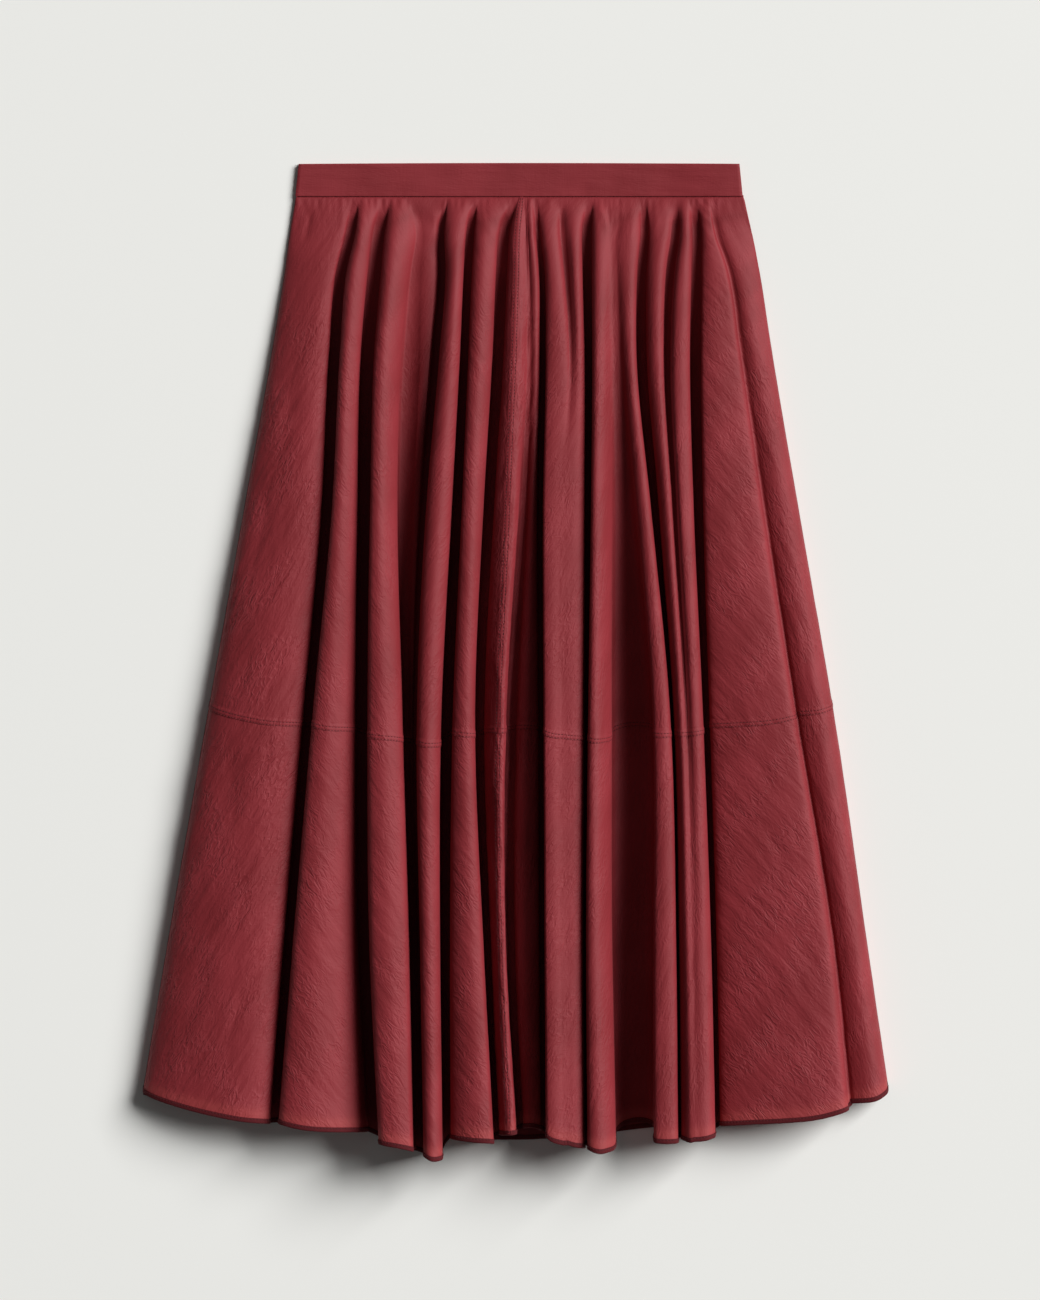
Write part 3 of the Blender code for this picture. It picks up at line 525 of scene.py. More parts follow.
@dataclass(frozen=True)
class CrinkledCotton:
    """Piece-dyed plain-weave cotton and nylon, washed so that it crinkles.

    It is matte, with a faint nylon sheen, fine uneven threads, and soft crinkles that lie along
    each fold's own direction. The raised crinkles are painted a little paler, a painted highlight
    on their tops.
    """

    base: str = "#8A2930"
    # pale is a painted highlight, mixed in on the raised crinkles' tops
    pale: str = "#993A41"
    deep: str = "#7D2127"
    hem_pale: str = "#A03E3E"
    roughness: float = 0.64
    sheen: float = 0.06
    sheen_tint: str = "#D9A0A0"
    thread_mm: float = 0.9      # real threads lie 0.3 mm apart, too fine to show from a step away
    slub_mm: float = 14.0       # length of a thick stretch of thread
    thread_rise: float = 0.06
    crinkle_mm: float = 3.2     # fine crinkles, from one to the next
    crinkle_aspect: float = 2.6
    crinkle_rise: float = 0.28
    crinkle_edge: float = 0.16  # a crinkle ends where its noise is this far from the middle value
    patch_mm: float = 30.0      # patches with more and with fewer crinkles
    patch_aspect: float = 1.5
    crease_mm: float = 10.0     # soft creases, from one to the next
    crease_aspect: float = 4.5
    crease_rise: float = 1.25
    cloud_mm: float = 45.0      # slow changes of dye
    cloud_aspect: float = 1.6

    def material(self) -> bpy.types.Material:
        """Return the cloth's material.

        It reads three UV maps in millimetres: "cut" follows the threads, and "crinkle" and
        "crinkle_odd" run across and along the crinkles of the even and the odd folds. The
        attribute "odd_fold" is the second one's share, "crinkled" is the crinkles' strength, and
        "light_through" tells how far light comes through the single cloth above the hem.
        """
        nodes = Nodes("crinkled_cotton_nylon")
        cut = nodes.chart("cut")
        charts = [nodes.chart(name) for name in ("crinkle", "crinkle_odd")]
        odd = nodes.attribute("odd_fold")
        strength = nodes.attribute("crinkled")

        def streaks(source: Any, x_mm: float, y_mm: float, detail: float,
                    twist: float = 0.0) -> Any:
            """Return a noise pattern's value on source, where 1 is x_mm and y_mm."""
            scaled = nodes.mapped(source, (1.0 / x_mm, 1.0 / y_mm, 1.0))
            return nodes.noise(scaled, detail=detail, twist=twist)

        def on_folds(x_mm: float, y_mm: float, detail: float, twist: float) -> Any:
            """Return a noise pattern that follows each fold, blended in the valleys."""
            even, second = (streaks(chart, x_mm, y_mm, detail, twist) for chart in charts)
            return nodes.add("Mix", {0: odd, 2: even, 3: second})[0]

        threads = nodes.maths("ADD", streaks(cut, self.thread_mm, self.slub_mm, 1.0),
                              streaks(cut, self.slub_mm, self.thread_mm, 1.0))
        pattern = on_folds(self.crinkle_mm, self.crinkle_mm * self.crinkle_aspect, 1.5, 0.5)
        off = nodes.maths("ABSOLUTE", nodes.maths("SUBTRACT", pattern, 0.5))
        patch = nodes.ranged(streaks(cut, self.patch_mm, self.patch_mm * self.patch_aspect, 2.0),
                             0.4, 0.62, 0.3, 1.0)
        ridges = nodes.ranged(off, 0.0, self.crinkle_edge, 1.0, 0.0)
        fine = nodes.maths("MULTIPLY", nodes.maths("MULTIPLY", ridges, patch), strength)
        long = nodes.maths("MULTIPLY", on_folds(
            self.crease_mm, self.crease_mm * self.crease_aspect, 2.0, 0.3), strength)
        cloud = streaks(cut, self.cloud_mm, self.cloud_mm * self.cloud_aspect, 2.0)
        ground = nodes.mixed(nodes.ranged(cloud, 0.3, 0.7, 0.0, 1.0), self.deep, self.base)
        # painted highlight: the raised crinkles are tinted towards pale
        ground_with_painted_highlight = nodes.mixed(nodes.ranged(fine, 0.3, 1.0, 0.0, 0.3), ground, self.pale)
        creased = nodes.bumped(long, self.crease_rise)
        crinkled = nodes.bumped(fine, self.crinkle_rise, normal=creased)
        return nodes.finished({
            "Base Color": nodes.mixed(nodes.attribute("light_through"), ground_with_painted_highlight, self.hem_pale),
            "Normal": nodes.bumped(threads, self.thread_rise, normal=crinkled),
            "Roughness": self.roughness, "IOR": 1.45, "Specular IOR Level": 0.35,
            "Sheen Weight": self.sheen, "Sheen Roughness": 0.5,
            "Sheen Tint": linear(self.sheen_tint),
        })


@dataclass(frozen=True)
class BindingCotton:
    """Bias-cut plain cotton tape, dyed darker, folded and pressed: matte, with a slight twist."""

    name: str = "bias_cotton_binding"
    colour: str = "#4A151A"
    pale: str = "#5E1C21"
    roughness: float = 0.8
    thread_mm: float = 0.8
    thread_length: float = 5.0  # of a thread's uneven stretches, in threads

    def material(self) -> bpy.types.Material:
        """Return the tape's material, with threads at 45 degrees to its edge."""
        nodes = Nodes(self.name)
        across = 1.0 / (self.thread_mm * MM)
        threads = nodes.noise(nodes.mapped(
            nodes.place(), (across, across / self.thread_length, 1.0 / MM), np.pi / 4), detail=1.0)
        return nodes.finished({
            "Base Color": nodes.mixed(threads, self.colour, self.pale),
            "Normal": nodes.bumped(threads, 0.2, 0.4),
            "Roughness": self.roughness, "Specular IOR Level": 0.15,
        })


@dataclass(frozen=True)
class SewingThread:
    """Spun polyester thread, two-ply, a shade darker than the cloth, with a soft shine."""

    colour: str = "#4A161B"
    roughness: float = 0.6
    ply_mm: float = 0.5

    def material(self) -> bpy.types.Material:
        """Return the thread's material, with the plies' twist as a fine band pattern."""
        nodes = Nodes("spun_polyester_thread")
        plies = nodes.mapped(nodes.place(), (1.0 / (self.ply_mm * MM),) * 3)
        twist = nodes.add("TexWave", {"Vector": plies, "Scale": 0.3, "Distortion": 1.0},
                          bands_direction="DIAGONAL")[1]
        return nodes.finished({
            "Normal": nodes.bumped(twist, 0.1, 0.3), "Base Color": linear(self.colour),
            "Roughness": self.roughness, "Specular IOR Level": 0.35,
        })


@dataclass(frozen=True)
class ZipCoilNylon:
    """Extruded nylon monofilament, dyed to match: smooth, with a soft plastic shine."""

    colour: str = "#3A1014"
    roughness: float = 0.38
    uneven: float = 0.08        # change of the roughness to each side

    def material(self) -> bpy.types.Material:
        """Return the coil's material, with faint draw lines in its roughness."""
        nodes = Nodes("nylon_monofilament")
        lines = nodes.noise(nodes.place(), 2500.0)
        return nodes.finished({
            "Roughness": nodes.ranged(lines, 0.0, 1.0, self.roughness - self.uneven,
                                      self.roughness + self.uneven),
            "Base Color": linear(self.colour), "IOR": 1.53,
        })


@dataclass(frozen=True)
class LacqueredZinc:
    """Die-cast zinc under a stoved lacquer in the cloth's colour: smooth and half glossy."""

    colour: str = "#431318"
    worn: str = "#57202A"
    roughness: float = 0.34

    def material(self) -> bpy.types.Material:
        """Return the slider's material, with orange-peel in the lacquer and worn tone changes."""
        nodes = Nodes("lacquered_zinc_casting")
        place = nodes.place()
        return nodes.finished({
            "Base Color": nodes.mixed(nodes.noise(place, 300.0), self.colour, self.worn),
            "Normal": nodes.bumped(nodes.noise(place, 1400.0), 0.05, 0.2),
            "Roughness": self.roughness, "Metallic": 0.25, "Coat Weight": 0.5,
            "Coat Roughness": 0.15,
        })


@dataclass(frozen=True)
class PaperSweep:
    """Matte off-white background paper, almost smooth."""

    colour: str = "#F5F5F1"
    roughness: float = 0.9

    def material(self) -> bpy.types.Material:
        """Return the paper's material, with a very faint pulp grain."""
        nodes = Nodes("background_paper")
        return nodes.finished({
            "Normal": nodes.bumped(nodes.noise(nodes.place(), 600.0), 0.1, 0.05),
            "Base Color": linear(self.colour), "Roughness": self.roughness,
            "Specular IOR Level": 0.1,
        })


# ---- The skirt's form ----


class Held(Enum):
    """How a sheet lies."""

    LAID = "laid"
    FOLDED = "folded"


class Half(Enum):
    """A half of the front, by the wearer's side."""

    RIGHT = "right"
    LEFT = "left"


class Tier(Enum):
    """A tier of the skirt."""

    UPPER = "upper"
    LOWER = "lower"


@dataclass(frozen=True)
class SkirtForm:
    """Sizes of the whole skirt and the surfaces that they give, in millimetres."""

    seam_y: float = 392.2
    wall: float = 1.0
    binding: float = 1.6
    binding_width: float = 4.0
    upper_rows: float = 450.0   # place of the tier seam among an upper panel's rows
    lower_rows: float = 335.0   # place of the binding's upper edge among a lower panel's
    gap: float = 0.3
    tier_share: float = 0.57
    fold_height: float = 54.0
    fold_growth: float = 0.37
    fold_start: float = 12.0
    tip_run: float = 26.0       # the valleys reach their depth this far below the waist seam
    fold_reference: float = 790.0
    overhang_of_width: float = 0.18
    overhang_of_rise: float = 0.20
    foot_spread: float = 0.3    # of a shallow valley's mouth, from its lips to its feet
    flank_place: float = 0.4
    flank_rise: float = 0.62
    wall_rise: float = 0.72     # of the point between a left foot and lip
    hem_settle: float = 30.0
    foot_share: float = 0.7     # of a valley's hem lift, at the feet beside it
    corner: float = 5.0         # the hem's corners are rounded up by this
    waist_settle: float = 28.0
    band_height: float = 28.0
    band_top_half: float = 186.2
    band_seam_half: float = 189.0
    band_thick: float = 2.2
    band_bow: float = 0.8
    zip_lift: float = 2.6
    zip_lift_start: float = 70.0
    zip_lift_run: float = 58.0
    zip_length: float = 172.0

    @property
    def panel_floor(self) -> float:
        """Mid-height of a valley on the back panel."""
        return self.wall * 1.5 + self.gap

    @property
    def hem_floor(self) -> float:
        """Mid-height of the front's hem on the back's."""
        return self.binding * 1.5 + self.gap

    @property
    def front_band_mid(self) -> float:
        """Mid-height of the front half of the waistband."""
        return self.band_thick * 1.5 + self.gap

    def rise_of_folds(self, drop: Array) -> Array:
        """Return the common rise of the folds: a power of the drop that leaves the seam softly."""
        drop = np.maximum(drop, 0.0)
        growth = (drop / self.fold_reference) ** self.fold_growth
        return self.fold_height * growth * (1.0 - np.exp(-drop / self.fold_start))

    def band_half(self, height: Array) -> Array:
        """Return half the waistband's width at a height above the waist seam."""
        return self.band_seam_half + (
            (self.band_top_half - self.band_seam_half) * height / self.band_height)

    def zip_rise(self, x: Array) -> Array:
        """Return how far the front band rises over the zip at x."""
        start = self.band_seam_half - self.zip_lift_start
        return self.zip_lift * smooth((x - start) / self.zip_lift_run)

    def floor(self, x: Array, drop: Array, hem: float) -> Array:
        """Return the mid-height of the front where it lies on the back."""
        at_waist = 1.0 - smooth(drop / self.waist_settle)
        run = self.hem_settle - self.binding_width
        at_hem = smooth((drop - (hem - self.hem_settle)) / run)
        panel = self.panel_floor + (self.hem_floor - self.panel_floor) * at_hem
        return panel + (self.front_band_mid + self.zip_rise(x) - panel) * at_waist

    def drops(self, hem: float, levels: Array) -> Array:
        """Return the drop at each level of a column with a given hem.

        A level runs from 0 at the waist seam to 1 at the tier seam, 2 at the binding's upper edge
        and 3 at the hem, in straight lines that go on past both ends.
        """
        tier = self.tier_share * hem
        edge = hem - self.binding_width
        upper = self.gap + levels * (tier - self.gap)
        lower = tier + (levels - 1.0) * (edge - tier)
        bound = edge + (levels - 2.0) * self.binding_width
        return np.where(levels < 1.0, upper, np.where(levels < 2.0, lower, bound))

    def levels(self, tier: Tier, rows: Array) -> Array:
        """Return the levels of a tier's rows, given in millimetres from its upper seam."""
        if tier is Tier.UPPER:
            return rows / self.upper_rows
        past = np.maximum(rows - self.lower_rows, 0.0) / self.binding_width
        return np.minimum(1.0 + rows / self.lower_rows, 2.0) + past

    def front_net(self, levels: Array) -> Array:
        """Return the front's control points.

        Each fold has a foot, lip and flank on each side of its crest, and a point between its
        left foot and lip that makes that lip crisper. Each valley has one point. A lip is its
        share of the fold's rise, and a foot lies under its lip.

        Args:
            levels: the rows' levels.

        Returns:
            (columns, rows, 3) controls as (x, drop, z).
        """
        net: list[Array] = []

        def add(x: Array, drop: Array, z: Array) -> Array:
            """Keep one column of controls, and return it."""
            net.append(np.stack([x, drop, z], axis=-1))
            return net[-1]

        def depth(valley: Valley, drop: Array) -> Array:
            """Return how deep a valley is, from 0 to 1."""
            deep = np.clip(along(FORM_DROPS, valley.depth, drop), 0.0, 1.0)
            return deep * smooth(drop / self.tip_run)

        def rise(fold: Ridge, drop: Array) -> Array:
            """Return a fold's rise."""
            return along(FORM_DROPS, fold.rise, drop) * self.rise_of_folds(drop)

        def lip_rise(fold: Ridge, side: int, drop: Array) -> Array:
            """Return the rise of a fold's left lip, or of its right one where side is 1."""
            return along(FORM_DROPS, (fold.left, fold.right)[side], drop) * rise(fold, drop)

        def valley_z(i: int, drop: Array, x: Array, hem: float) -> Array:
            """Return the height of valley i, which is the mean of its lips where it is shallow."""
            lips = lip_rise(RIDGES[i], 1, drop) + lip_rise(RIDGES[i + 1], 0, drop)
            return self.floor(x, drop, hem) + (1.0 - depth(VALLEYS[i], drop)) * lips / 2

        def side_seam(line: tuple, hem: float) -> tuple[Array, Array]:
            """Return x and drop of a side seam, with its corner at the hem rounded up."""
            drop = self.drops(hem - self.corner, levels)
            return along(LINE_DROPS, line, drop), drop

        for i, fold in enumerate(RIDGES):
            left = VALLEYS[i - 1] if i > 0 else None
            right = VALLEYS[i] if i < len(VALLEYS) else None
            hem_left, hem_crest, hem_right = fold.hem

            def lips(drop: Array) -> tuple[Array, Array]:
                """Return x of the fold's two lips."""
                start = along(LINE_DROPS, left.line if left else RIGHT_SIDE_LINE, drop)
                end = along(LINE_DROPS, right.line if right else LEFT_SIDE_LINE, drop)
                if left:
                    start = start + along(FORM_DROPS, left.mouth, drop) / 2
                if right:
                    end = end - along(FORM_DROPS, right.mouth, drop) / 2
                return start, end

            def add_foot(side: int, valley: Valley, hem: float) -> Array:
                """Keep the foot under a lip, or before it where the valley is shallow.

                It is as high as its valley, but never higher than its own lip.
                """
                drop = self.drops(hem - self.foot_share * valley.hem_lift, levels)
                start, end = lips(drop)
                deep = depth(valley, drop)
                under = np.minimum(self.overhang_of_width * (end - start),
                                   self.overhang_of_rise * rise(fold, drop))
                spread = np.maximum(self.foot_spread * along(FORM_DROPS, valley.mouth, drop), 0.0)
                inward = under * deep - spread * (1.0 - deep)
                x = end - inward if side else start + inward
                lip = self.floor(x, drop, hem) + lip_rise(fold, side, drop)
                return add(x, drop, np.minimum(valley_z(i - 1 + side, drop, x, hem), lip))

            if left:
                foot, way = add_foot(0, left, hem_left), self.wall_rise
            else:
                x, drop = side_seam(RIGHT_SIDE_LINE, hem_left)
                foot, way = add(x, drop, self.floor(x, drop, hem_left)), 1.0 - self.wall_rise
            drop = self.drops(hem_left, levels)
            x = lips(drop)[0]
            top = self.floor(x, drop, hem_left) + lip_rise(fold, 0, drop)
            net.append(foot + way * (np.stack([x, drop, top], axis=-1) - foot))
            for side, to_crest, way_up, hem in (
                (0, 0.0, 0.0, hem_left),
                (0, self.flank_place, self.flank_rise, (hem_left + hem_crest) / 2),
                (0, 1.0, 1.0, hem_crest),
                (1, self.flank_place, self.flank_rise, (hem_crest + hem_right) / 2),
                (1, 0.0, 0.0, hem_right),
            ):
                drop = self.drops(hem, levels)
                start, end = lips(drop)
                crest = start + along(FORM_DROPS, fold.crest, drop) * (end - start)
                lip = end if side else start
                x = lip + to_crest * (crest - lip)
                lip_share = along(FORM_DROPS, (fold.left, fold.right)[side], drop)
                share = lip_share + way_up * (1.0 - lip_share)
                add(x, drop, self.floor(x, drop, hem) + share * rise(fold, drop))
            if right:
                add_foot(1, right, hem_right)
                hem = (hem_right + RIDGES[i + 1].hem[0]) / 2 - right.hem_lift
                drop = self.drops(hem, levels)
                x = along(LINE_DROPS, right.line, drop)
                add(x, drop, valley_z(i, drop, x, hem))
            else:
                x, drop = side_seam(LEFT_SIDE_LINE, hem_right)
                open_seam = self.zip_lift * (1.0 - smooth(drop / self.zip_length))
                add(x, drop, self.floor(x, drop, hem_right)
                    + open_seam * smooth(drop / self.waist_settle))
        return np.array(net)


def spline(net: Array, stations: Array) -> Array:
    """Return points of the uniform cubic B-spline through each row of a control net.

    Args:
        net: (columns, rows, 3) controls. A mirrored control past each end keeps the ends in place.
        stations: (rows, n) places along the columns, where a whole number is that column's knot.

    Returns:
        (rows, n, 3) points.
    """
    before = 2 * net[:1] - net[1:2]
    after = 2 * net[-1:] - net[-2:-1]
    padded = np.concatenate([before, net, after]).transpose(1, 0, 2)
    i = np.clip(np.floor(stations).astype(int), 0, len(net) - 2)
    t = (stations - i)[..., None]
    row = np.arange(len(padded))[:, None]
    weights = ((1 - t) ** 3, 3 * t ** 3 - 6 * t ** 2 + 4,
               -3 * t ** 3 + 3 * t ** 2 + 3 * t + 1, t ** 3)
    return sum(w * padded[row, i + k] for k, w in enumerate(weights)) / 6


class Tuck(NamedTuple):
    """A fold of the back panel that lies flat on it, under one of the front's folds."""

    line: tuple     # x of its middle at TUCK_DROPS
    start: float    # drop at which it leaves the panel
    full: float     # drop at which it has its full thickness and starts to fold over
    overlap: float  # width of its layers at the hem


TUCK_DROPS = np.array([0.0, 150.0, 440.0, 790.0])
TUCKS = (
    Tuck((-158, -185, -229, -257), 260, 460, 44),
    Tuck((-120, -139, -160, -167), 400, 540, 28),
    Tuck((150, 172, 203, 238), 260, 460, 58),
)
# Points of a tuck from its lower turn to its upper one: x as a share of half the overlap, while it
# is still open and once it lies folded, how far the turn bulges, and the share of its rise
TUCK_POINTS = (
    (1.0, 1.0, 0.0, 0.0),
    (0.6, 1.0, 1.0, 0.25),
    (0.2, 1.0, 0.0, 0.5),
    (-0.2, -1.0, 0.0, 0.5),
    (-0.6, -1.0, -1.0, 0.75),
    (-1.0, -1.0, 0.0, 1.0),
)
TUCK_TOP_POINTS = ((-2.0, 1.0), (2.0, 1.0), (10.0, 0.0), (14.0, 0.0))
BACK_HEM_X = np.array([-318.0, -257.0, -224.0, -140.0, -60.0, 36.0, 100.0, 206.0, 257.0, 318.0])
BACK_HEM = np.array([763.0, 784.0, 788.0, 789.0, 801.0, 802.0, 791.0, 785.0, 774.0, 761.0])


@dataclass(frozen=True)
class BackForm:
    """The back's wall: a flat panel with a few tucks that lie on it, in millimetres."""

    skirt: SkirtForm
    mid: float = 0.5
    tuck_rise: float = 5.0
    tuck_open: float = -12.0
    tuck_approach: float = 7.0
    panel_points: int = 3
    centre_points: int = 7

    def net(self, levels: Array) -> Array:
        """Return the back's control points, (columns, rows, 3) as (x, drop, z)."""
        net: list[Array] = []

        def add(line: Callable[[Array], Array], level: Callable[[Array], Array],
                near: float | None = None) -> None:
            """Keep one column of controls, whose hem is the one near a given x."""
            x = line(np.array(self.skirt.fold_reference)) if near is None else near
            drop = self.skirt.drops(float(np.interp(x, BACK_HEM_X, BACK_HEM)), levels)
            net.append(np.stack([line(drop), drop, self.mid + level(drop)], axis=-1))

        def flat(drop: Array) -> Array:
            """Return the level of the plain panel."""
            return 0.0 * drop

        def side(values: Sequence[float]) -> Callable[[Array], Array]:
            """Return a side's line."""
            return lambda drop: along(LINE_DROPS, values, drop)

        def between(start: Callable, end: Callable, share: float) -> Callable[[Array], Array]:
            """Return a line between two others."""
            return lambda drop: start(drop) + share * (end(drop) - start(drop))

        def overlap(tuck: Tuck, drop: Array) -> Array:
            """Return how far a tuck's layers lie over each other."""
            grown = (drop - tuck.full) / (self.skirt.fold_reference - tuck.full)
            return self.tuck_open + (tuck.overlap - self.tuck_open) * np.clip(grown, 0.0, 1.0)

        def point(tuck: Tuck, when_open: float, when_folded: float, bulge: float,
                  offset: float = 0.0) -> Callable[[Array], Array]:
            """Return the line of one point of a tuck."""
            def line(drop: Array) -> Array:
                """Return its x."""
                lap = overlap(tuck, drop)
                folded = smooth((lap - self.tuck_open) / -self.tuck_open)
                share = when_open + (when_folded - when_open) * folded
                middle = along(TUCK_DROPS, tuck.line, drop)
                return middle + share * lap / 2 + bulge * folded + offset
            return line

        def top(tuck: Tuck, offset: float) -> Callable[[Array], Array]:
            """Return a line past a tuck's upper turn."""
            return lambda drop: (along(TUCK_DROPS, tuck.line, drop)
                                 + np.abs(overlap(tuck, drop)) / 2 + offset)

        def level(tuck: Tuck, share: float) -> Callable[[Array], Array]:
            """Return a share of a tuck's rise."""
            run = tuck.full - tuck.start
            return lambda drop: self.tuck_rise * share * smooth((drop - tuck.start) / run)

        previous = side(RIGHT_SIDE_LINE)
        add(previous, flat)
        for i, tuck in enumerate(TUCKS):
            start = point(tuck, 1.0, 1.0, 0.0, -self.tuck_approach)
            near = tuck.line[-1] + np.sign(tuck.line[-1]) * tuck.overlap / 2
            count = self.centre_points if i == len(TUCKS) - 1 else self.panel_points
            for k in range(1, count + 1):
                add(between(previous, start, k / (count + 1)), flat)
            add(start, flat, near)
            for when_open, when_folded, bulge, share in TUCK_POINTS:
                add(point(tuck, when_open, when_folded, bulge), level(tuck, share), near)
            for offset, share in TUCK_TOP_POINTS:
                previous = top(tuck, offset)
                add(previous, level(tuck, share), near)
        end = side(LEFT_SIDE_LINE)
        for k in range(1, self.panel_points + 1):
            add(between(previous, end, k / (self.panel_points + 1)), flat)
        add(end, flat)
        return np.array(net)


def rows_from(runs: Sequence[tuple[float, float, float]]) -> Array:
    """Return row places in millimetres from runs of (start, end, step), and the last end."""
    parts = [np.arange(start, end - step / 2, step) for start, end, step in runs]
    return np.concatenate([*parts, [runs[-1][1]]])


class Panel(NamedTuple):
    """A dressed panel and what its seams are sewn from."""

    obj: bpy.types.Object
    points: Array   # (rows, columns, 3) middle of the cloth
    rows: Array     # place of each row, in millimetres from the tier seam or the waist seam
    seam: Array     # distance of each column from the centre-front seam


class Pucker(NamedTuple):
    """Short pulls that a seam draws into the cloth."""

    rise: float
    grain: tuple        # from one pull to the next, and their length away from the seam
    fade: float         # their rise falls by e over this distance from the seam
    start: float = 0.0  # where their pattern starts, in lengths


@dataclass
class TierCloth:
    """What the front's and the back's panels share: form, finish, rows and laps."""

    form: SkirtForm
    finish: bpy.types.Material
    half: float = 0.22
    upper_runs: tuple = ()
    lower_runs: tuple = ()
    lap: float = 0.5            # an upper layer's height over the one that it laps
    lap_start: float = 5.0      # where it starts to rise, before the seam
    lap_run: float = 2.6

    def rows(self, tier: Tier) -> tuple[Array, Array, Array]:
        """Return a tier's rows, their levels, and their places down from the tier seam."""
        upper = tier is Tier.UPPER
        rows = rows_from(self.upper_runs if upper else self.lower_runs)
        return rows, self.form.levels(tier, rows), rows - self.form.upper_rows if upper else rows

    def lapped(self, off: Array) -> Array:
        """Return how far an upper layer rises at off from its seam, a smooth step."""
        return self.lap * smooth((off + self.lap_start) / self.lap_run)


@dataclass
class FrontCloth(TierCloth):
    """The front's four panels: folds, crinkles, main creases and lapped seams."""

    upper_runs: tuple = ((-1.6, 2.0, 0.6), (2.0, 14.0, 1.5), (14.0, 50.0, 2.2), (50.0, 441.0, 3.6),
                         (441.0, 447.2, 1.3), (447.2, 452.4, 0.55))
    lower_runs: tuple = ((-4.5, 6.0, 1.0), (6.0, 330.0, 3.4), (330.0, 337.4, 1.2))
    right_columns: int = 262
    left_columns: int = 304
    even_level: float = 1.35    # where the columns are an even arc apart
    centre_columns: tuple = (-6.5, -5.2, -4.0, -3.0, -2.2, -1.8, -1.5, -1.2, -0.6, 0.0, 0.6, 1.2,
                             1.5, 1.8, 2.4)
    centre_reach: float = 8.0   # the even columns start this far from the centre seam
    centre_most: float = 3.4    # or this many stations from it, where that is nearer
    lowest: float = 1.3         # nothing of the front goes below this
    ditch: float = 0.7          # the cloth dips by this under the waistband's edge
    ditch_place: float = -0.3
    ditch_half: float = 0.9
    groove: float = 0.16        # and by this along a row of stitches
    groove_half: float = 0.5
    stitch_off: float = 1.5     # the two rows of stitches lie this far from their seam
    wall_share: float = 0.4     # of the crinkles' rise, on the folds' upright walls
    blend: float = 2.4          # stations over which the crinkles of two folds blend
    fine_size: tuple = (0.55, 0.5)      # width and length of the finer crinkles, as shares
    fine_rise: float = 0.55
    patch_size: tuple = (34.0, 55.0)    # patches with higher and with lower crinkles
    patch_rise: tuple = (0.65, 0.6)     # their mean share of a crinkle's rise, and its change
    least_weight: float = 0.01  # a fold with less than this in a panel is left out of it
    fine_strength: tuple = (0.5, 1.35, 1.6)     # its start, growth with the depth, and most
    below_waist: tuple = (0.35, 40.0, 120.0)    # its share there, and where and how it grows
    edge_calm: tuple = ((2.0, 10.0), (6.0, 14.0))   # start and run of the calm at each edge
    chart_reach: tuple = (-5, 12)       # stations from a fold's foot that its chart covers
    seam_calm: float = 4.0      # the crinkles are calmer within this of a seam
    calmer: tuple = (0.75, 0.7)         # by these shares at the centre and the tier seam
    crease_bend: float = 0.06   # of a main crease, as a share of its length
    crease_taper: float = 0.35
    waist_pucker: Pucker = Pucker(0.75, (4.2, 30.0), 13.0)
    pucker_start: float = 4.0   # those at the waist are full this far below its seam
    tier_pucker: Pucker = Pucker(0.32, (5.0, 22.0), 8.0, 3.0)
    centre_pucker: Pucker = Pucker(0.2, (5.5, 9.0), 5.0)
    hem_light: float = 0.55     # light that comes through the single cloth above the hem
    hem_light_start: float = 4.0
    hem_light_run: float = 8.0
    turn_degrees: tuple = (25.0, 50.0, 75.0, 90.0)
    turn_size: tuple = (0.55, 0.0, 0.95)    # outwards, along and down
    seed: int = 11

    def stations(self, half: Half, net: Array) -> tuple[Array, Array]:
        """Return where the columns of one half lie, an even arc apart but finer at the seam.

        Args:
            half: which half.
            net: the front's control net, for the size of a station in each row.

        Returns:
            (rows, n) stations, and (n,) distances from the centre-front seam where they are near.
        """
        crest = FOLD_COLUMNS * CENTRE_RIDGE + CREST_COLUMN
        last = len(net) - 1
        speed = np.linalg.norm(net[crest + 1] - net[crest - 1], axis=-1) / 2
        width = np.minimum(self.centre_reach / speed, self.centre_most)[:, None]
        scale = width / self.centre_reach
        fine = np.linspace(0.0, last, last * 8 + 1)
        level = self.form.front_net(np.array([self.even_level]))
        run = arc_length(world(spline(level, fine[None]), 0.0))[0]
        at_seam = float(np.interp(crest, fine, run))
        offsets = np.array(self.centre_columns)
        if half is Half.RIGHT:
            places = np.linspace(0.0, at_seam, self.right_columns + 1)[:-1]
            plain = np.interp(places, run, fine)[None] * (crest - width) / crest
            return (np.concatenate([plain, crest + offsets[None] * scale], axis=1),
                    np.concatenate([np.full(len(places), -FAR), offsets]))
        places = np.linspace(at_seam, run[-1], self.left_columns + 1)[1:]
        share = (np.interp(places, run, fine) - crest) / (last - crest)
        plain = crest + width + share[None] * (last - crest - width)
        return (np.concatenate([crest - offsets[::-1][None] * scale, plain], axis=1),
                np.concatenate([-offsets[::-1], np.full(len(places), FAR)]))

